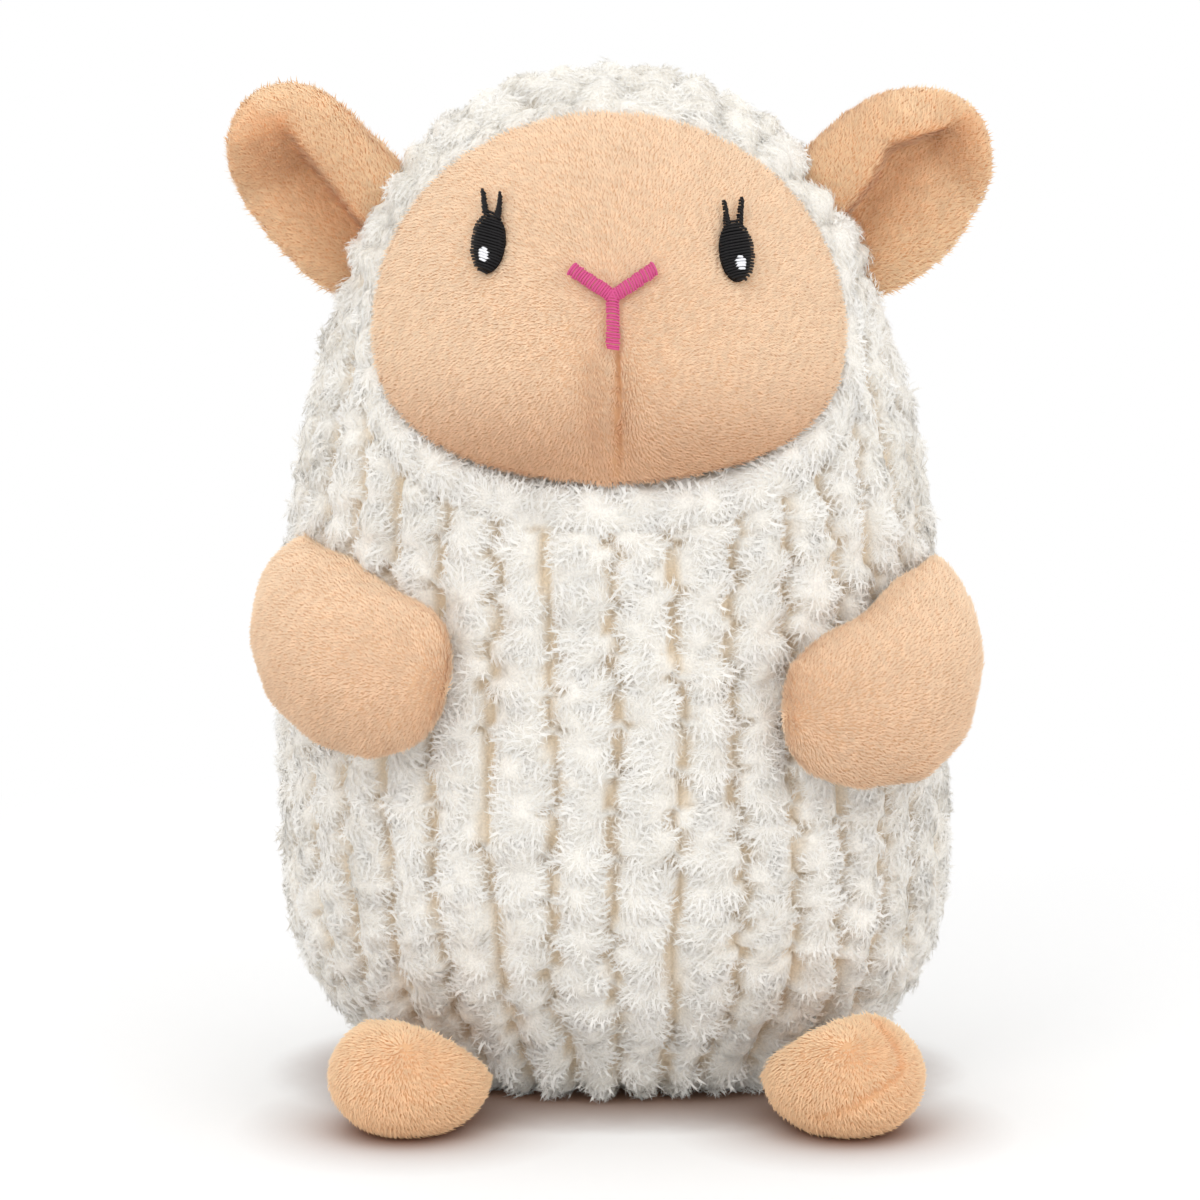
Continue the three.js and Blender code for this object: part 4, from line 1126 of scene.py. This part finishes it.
def joinNodes(name, nodes):
    mesh = bpy.data.meshes.new(name)
    with opened(mesh) as work:
        for node in nodes:
            work.from_mesh(frame["nodes"][node].data)
        bmesh.ops.remove_doubles(work, verts=work.verts, dist=0.001 * mm)
    return linkedObject(name, mesh)


def keepLargest(piece):
    with opened(piece.data) as work:
        left, best = set(work.verts), set()
        while left:
            island = fresh = {left.pop()}
            while fresh:
                fresh = {edge.other_vert(v) for v in fresh for edge in v.link_edges} & left
                left -= fresh
                island = island | fresh
            best = max(best, island, key=len)
        bmesh.ops.delete(work, geom=[v for v in work.verts if v not in best], context="VERTS")


def stuffSkin(piece, cap, pinned):
    before = pointsOf(piece)
    piece.vertex_groups.new(name="sewn").add([int(i) for i in np.nonzero(pinned)[0]], 1.0, "REPLACE")
    cloth = piece.modifiers.new("stuffing", "CLOTH")
    held = cloth.settings
    held.quality = 6
    held.mass = stuffing["mass"]
    held.tension_stiffness = held.compression_stiffness = held.shear_stiffness = stuffing["stiffness"]
    held.bending_stiffness = stuffing["bending"]
    held.use_pressure = True
    held.uniform_pressure_force = stuffing["pressure"]
    held.vertex_group_mass = "sewn"
    held.effector_weights.gravity = 0
    cloth.collision_settings.use_collision = False
    cloth.point_cache.frame_start = 1
    cloth.point_cache.frame_end = stuffing["frames"]
    for step in range(1, stuffing["frames"] + 1):
        scene.frame_set(step)
    mesh = evaluated(piece)
    move = tripletsOf(mesh.vertices, "co") - before
    far = np.linalg.norm(move, axis=1, keepdims=True)
    print(piece.name, "stuffed, moved by up to", round(float(far.max()) / mm, 2), "mm")
    move *= np.minimum(1, cap / np.maximum(far, 1e-9))
    piece.modifiers.remove(cloth)
    piece.vertex_groups.clear()
    bpy.data.meshes.remove(mesh)
    scene.frame_set(1)
    setPoints(piece, before + move)


# An ear lies in its own plane, in mm along it from its root and across it. Its upper edge folds over to the front,
# down to the line in "edge", and behind that fold the front is hollow. From "ramp" on the tip bends forwards.
# The ear's two shade amounts and widths give painted shade: broad in the hollow behind the fold, narrow along the
# fold.
ear = {
    "pitch": math.radians(37), "thickness": 6.5, "setBack": 2.0, "roll": 9.0, "lip": 3.5, "hollow": 2.5,
    "hollowWidth": 7.0, "paintedShade": (0.4, 0.6), "paintedShadeWidth": (12.0, 2.5), "bend": 0.5, "fade": (-4, 6),
    "centre": (14, 2), "rings": 30, "around": 140,
    "left_ear": {
        "side": 1, "height": 211 * mm, "ramp": (24, 16, 0.0),
        "edge": [(-10, 0.2), (-4.1, 1.9), (5.9, 4.4), (11.3, 6.2), (16.9, 9.3), (21.4, 7.6), (27.9, 6.0)],
        "outline": [
            (-9, 2), (-9, 20.5), (-0.4, 22.4), (8.1, 23.4), (14.8, 23.7), (21.6, 23.1), (27.7, 20.3), (34, 15.8),
            (37.8, 10), (39.1, 4.2), (38, -1.6), (35, -7.6), (30.3, -12.3), (23.5, -15.4), (17.4, -18.2),
            (10.6, -19.6), (4.1, -19.6), (-9, -17),
        ],
    },
    "right_ear": {
        "side": -1, "height": 210 * mm, "ramp": (19.1, 16, 0.675),
        "edge": [(-10, -1.5), (-4, -0.1), (2.8, 1.4), (14.1, 4.5), (21.7, 7), (28.5, 10.1)],
        "outline": [
            (-9, 2), (-9, 17.5), (-0.9, 19.6), (4, 20.3), (11, 21.2), (18.7, 22.6), (23.9, 23), (29.5, 21.7),
            (35.5, 17.8), (38.7, 13), (39.8, 7.3), (38.9, 1.4), (36.4, -3.4), (31.8, -8.1), (25.9, -11.3),
            (19.3, -13.6), (12.1, -15.4), (6.6, -16.2), (-0.3, -16.8), (-9, -16.5),
        ],
    },
}


def earOutline(corners):
    spots = np.array(corners, float) - ear["centre"]
    angles = np.arctan2(spots[:, 1], spots[:, 0])
    turn = turnsOf(ear["around"]) - math.pi
    radius = np.interp(turn, angles, np.linalg.norm(spots, axis=1), period=2 * math.pi)
    for _ in range(3):
        radius = (np.roll(radius, 1) + radius + np.roll(radius, -1)) / 3
    return radius[:, None] * np.stack([np.cos(turn), np.sin(turn)], -1)


def earFrame(form):
    root = torsoPoints(np.array(form["side"] * math.pi / 2), np.array(form["height"]))
    outwards = np.array([form["side"] * math.cos(ear["pitch"]), 0, math.sin(ear["pitch"])])
    upwards = np.array([-form["side"] * math.sin(ear["pitch"]), 0, math.cos(ear["pitch"])])
    return root, outwards, upwards


def earLeaf(name):
    form, around, rings = ear[name], ear["around"], ear["rings"]
    edge = np.array(form["edge"], float)
    shares = np.sin(math.pi / 2 * np.arange(1, rings + 1) / rings)
    spots = (shares[:, None, None] * earOutline(form["outline"])).reshape(-1, 2)
    spots = np.concatenate([[[0, 0]], spots]) + ear["centre"]
    share = np.concatenate([[0], np.repeat(shares, around)])
    along, across = spots.T
    above = fromLine(spots, edge) * np.where(across > np.interp(along, edge[:, 0], edge[:, 1]), 1, -1)
    start, length, slant = form["ramp"]
    ramp = np.clip((along + slant * across - start) / length, 0, 1)
    lip = np.sqrt(1 - (1 - np.clip(above / ear["lip"], 0, 1)) ** 2)
    lip = lip * (1 - smoothStep(along, edge[-1, 0] + ear["fade"][0], edge[-1, 0] + ear["fade"][1]))
    hollow = ear["hollow"] * bell(above, ear["hollowWidth"]) * (above < 0)
    raised = ear["roll"] * (ramp + (1 - ramp) * lip) - hollow * (1 - ramp)
    middle = ear["bend"] * ear["roll"] * ramp
    rim = np.sqrt(1 - share**5)
    front = middle + (ear["thickness"] / 2 + raised - middle) * rim
    back = middle - ear["thickness"] / 2 * rim
    root, outwards, upwards = earFrame(form)
    flat = root + mm * (along[:, None] * outwards + across[:, None] * upwards)
    layers = [flat - np.outer(mm * (depth - ear["setBack"]), [0, 1, 0]) for depth in (front, back)]
    leaf = makeObject(f"{name}_plush", np.concatenate(layers), shellFaces(rings, around))
    outwardFaces(leaf)
    return leaf


# How much painted shade each point gets: in the hollow behind the fold, and along a line on the fold itself.
def earPaintedShade(name, points, normals):
    form = ear[name]
    edge = np.array(form["edge"], float)
    root, outwards, upwards = earFrame(form)
    spots = np.stack([(points - root) @ outwards, (points - root) @ upwards], -1) / mm
    behind = spots[:, 1] < np.interp(spots[:, 0], edge[:, 0], edge[:, 1])
    away = fromLine(spots, edge)
    wide, narrow = [paintedShade * bell(away, width) for paintedShade, width in zip(ear["paintedShade"], ear["paintedShadeWidth"])]
    return np.maximum(wide * behind, narrow) * (normals[:, 1] < 0)


# How far points are from the seam between two layers: 0 where both are as near.
def nearSeam(points, nodes):
    trees = [bvhOf(frame["nodes"][node].data) for node in nodes]
    gaps = np.array([[tree.find_nearest(Vector(p))[3] for p in points] for tree in trees])
    return np.abs(gaps[0] - gaps[1])


def fillArm(name, points):
    spots = np.array(armFill[name])
    gaps = np.linalg.norm(points[:, None, [0, 2]] / mm - spots[None, :, :2], axis=-1)
    weights = bell(gaps, armFill["spread"]) + 1e-6
    moves = weights @ spots[:, 2:] / weights.sum(1, keepdims=True) * mm
    outwards = points * [1 / torso["width"] ** 2 * 4, 1 / torso["belly"] ** 2, 0]
    return points + np.stack([moves[:, 0], 0 * moves[:, 0], moves[:, 1]], -1) - armFill["press"] * unit(outwards)


# Points of an inner piece that would come through the skin go back inside it.
def keepInside(points, skin, clear):
    tree = bvhOf(skin.data)
    kept = points.copy()
    for index, point in enumerate(points):
        nearest, normal, _, _ = tree.find_nearest(Vector(point))
        if (Vector(point) - nearest).dot(normal) > -clear:
            kept[index] = nearest - normal * clear
    return kept


def makeLimb(side, kind, seed):
    name, form = f"{side}_{kind}", limbs[kind]
    nodes = [f"{name}_{layer}" for layer in form["layers"]]
    skin = earLeaf(name) if kind == "ear" else joinNodes(f"{name}_plush", nodes + [f"{name}_stuffing"])
    withModifier(skin, "REMESH", mode="VOXEL", voxel_size=form["voxel"])
    keepLargest(skin)
    withModifier(skin, "SMOOTH", factor=0.5, iterations=form["smoothing"])
    if form["plump"]:
        stuffSkin(skin, form["plump"], nearSeam(pointsOf(skin), nodes) < stuffing["sewn"])
        withModifier(skin, "SMOOTH", factor=0.5, iterations=3)
    withModifier(skin, "SUBSURF", levels=form["finer"], render_levels=form["finer"])
    groove = line = np.zeros(len(skin.data.vertices))
    if kind == "arm":
        groove = form["seam"] * bell(nearSeam(pointsOf(skin), nodes), form["seamWidth"])
        setPoints(skin, fillArm(name, pointsOf(skin)))
    points, normals = pointsOf(skin), normalsOf(skin)
    if name == footSeam["foot"]:
        away = fromLine(points[:, [0, 2]], footSeam["points"])
        line = bell(away, footSeam["width"]) * (normals[:, 1] < 0)
        groove = footSeam["depth"] * line
    points = points - normals * (form["sunk"] + groove)[:, None]
    setPoints(skin, points)
    normals, middle = normalsOf(skin), points.mean(0)
    if kind == "ear":
        hinge = next(joint for joint in frame["joints"] if joint["child"] == name)
        flow = unit(middle - np.array(hinge["pos_m"])) + (points - middle) / form["fanning"]
        low = earPaintedShade(name, points, normals)
    else:
        flow = points - middle - np.array(form["whorl"]) * [1 if side == "left" else -1, 1, 1]
        # Painted shade: the tone deepens towards the bottom of an arm or a foot.
        low = form["shade"] * (1 - smoothStep(points[:, 2], points[:, 2].min(), points[:, 2].max()))
    flow = unit(alongSurface(flow, normals))
    floor = smoothStep(points[:, 2], 0.0, form["sole"]) if kind == "foot" else np.ones(len(points))
    # Painted shade: the tone is deeper along the foot seam's groove, where the pile is also thinner.
    setAttributes(
        skin, comb=unit(normals + faceCloth["lean"] * flow), growth=(0.2 + 0.8 * floor) * (1 - 0.3 * line),
        reach=0.5 + 0.5 * floor, height=(1 - 0.5 * line) * (1 - low),
    )
    wear(skin, finishes[form["finish"] + "Skin"])
    pile = growPile(skin, f"{name}_pile", "plush", {**plushLook, "Length": form["length"]}, seed, form["finish"])
    settle(skin, name, nodes)
    settle(pile, name)


for number, (kind, side) in enumerate((kind, side) for kind in limbs for side in ("left", "right")):
    makeLimb(side, kind, 301 + number)
print("limbs ready")

# Base, stuffing and pouch.

inside = {
    "bodies": ("torso", "left_arm", "right_arm", "left_foot", "right_foot"),
    "torso": {"voxel": 8 * mm, "lump": 0.8 * mm, "sunk": 6 * mm},
    "limb": {"voxel": 3.2 * mm, "lump": 0.4 * mm, "sunk": 0.0},
    "pouch": {"voxel": 3.5 * mm, "lump": 0.5 * mm, "sunk": 0.0},
    "waves": 160, "clear": 1.2 * mm, "seed": 71,
}
base = {"around": 180, "levels": 12, "sunk": 9.5 * mm, "wall": 2 * mm, "lift": 0.1 * mm}


def fillPiece(draw, node, name, body, form, finish):
    piece = joinNodes(name, [node])
    withModifier(piece, "REMESH", mode="VOXEL", voxel_size=form["voxel"])
    keepLargest(piece)
    withModifier(piece, "SMOOTH", factor=0.5, iterations=3)
    points, normals = pointsOf(piece), normalsOf(piece)
    waves = draw.normal(size=(6, 3)) * inside["waves"]
    lumps = np.sin(points @ waves.T + draw.uniform(0, 6, 6)).mean(1)
    points = points + normals * (form["lump"] * (lumps - 1) - form["sunk"])[:, None]
    if body in armFill:
        points = fillArm(body, points)
    if body != "torso":
        points = keepInside(points, bpy.data.objects[f"{body}_plush"], inside["clear"])
    setPoints(piece, points)
    withModifier(piece, "SUBSURF", levels=1, render_levels=1)
    wear(piece, finishes[finish])
    settle(piece, body, [node])


def makeInside():
    draw = np.random.default_rng(inside["seed"])
    for body in inside["bodies"]:
        form = inside["torso" if body == "torso" else "limb"]
        fillPiece(draw, f"{body}_stuffing", f"{body}_fibre", body, form, "fibre")
    fillPiece(draw, "pellet_pouch", "pellet_bag", "torso", inside["pouch"], "pouch")


def makeBase():
    around, sunk, lift = base["around"], base["sunk"], base["lift"]
    turn = turnsOf(around)
    heights = np.linspace(torso["baseSeam"] + 1 * mm, 0.4 * mm, base["levels"])
    rows = [torsoPoints(turn, np.full(around, z), -sunk) for z in heights]
    flat = torsoPoints(turn, np.full(around, 0.0), -sunk)
    rows += [flat * [share, share, 1] + [0, 0, lift] for share in (0.985, 0.9, 0.6, 0.3)]
    points = np.concatenate(rows + [[[0, 0, lift]]])
    last = (len(rows) - 1) * around
    faces = ringFaces(0, len(rows), around)
    faces += [(last + (k + 1) % around, last + k, len(points) - 1) for k in range(around)]
    piece = makeObject("base_cloth", points, faces)
    outwardFaces(piece)
    withModifier(piece, "SOLIDIFY", thickness=base["wall"], offset=-1, use_rim=True)
    wear(piece, finishes["base"])
    settle(piece, "torso", ["base_panel"])


makeInside()
makeBase()
for tuft in tufts.values():
    bpy.data.objects.remove(tuft)
print("inside and base ready")

scene.view_settings.view_transform = "Standard"
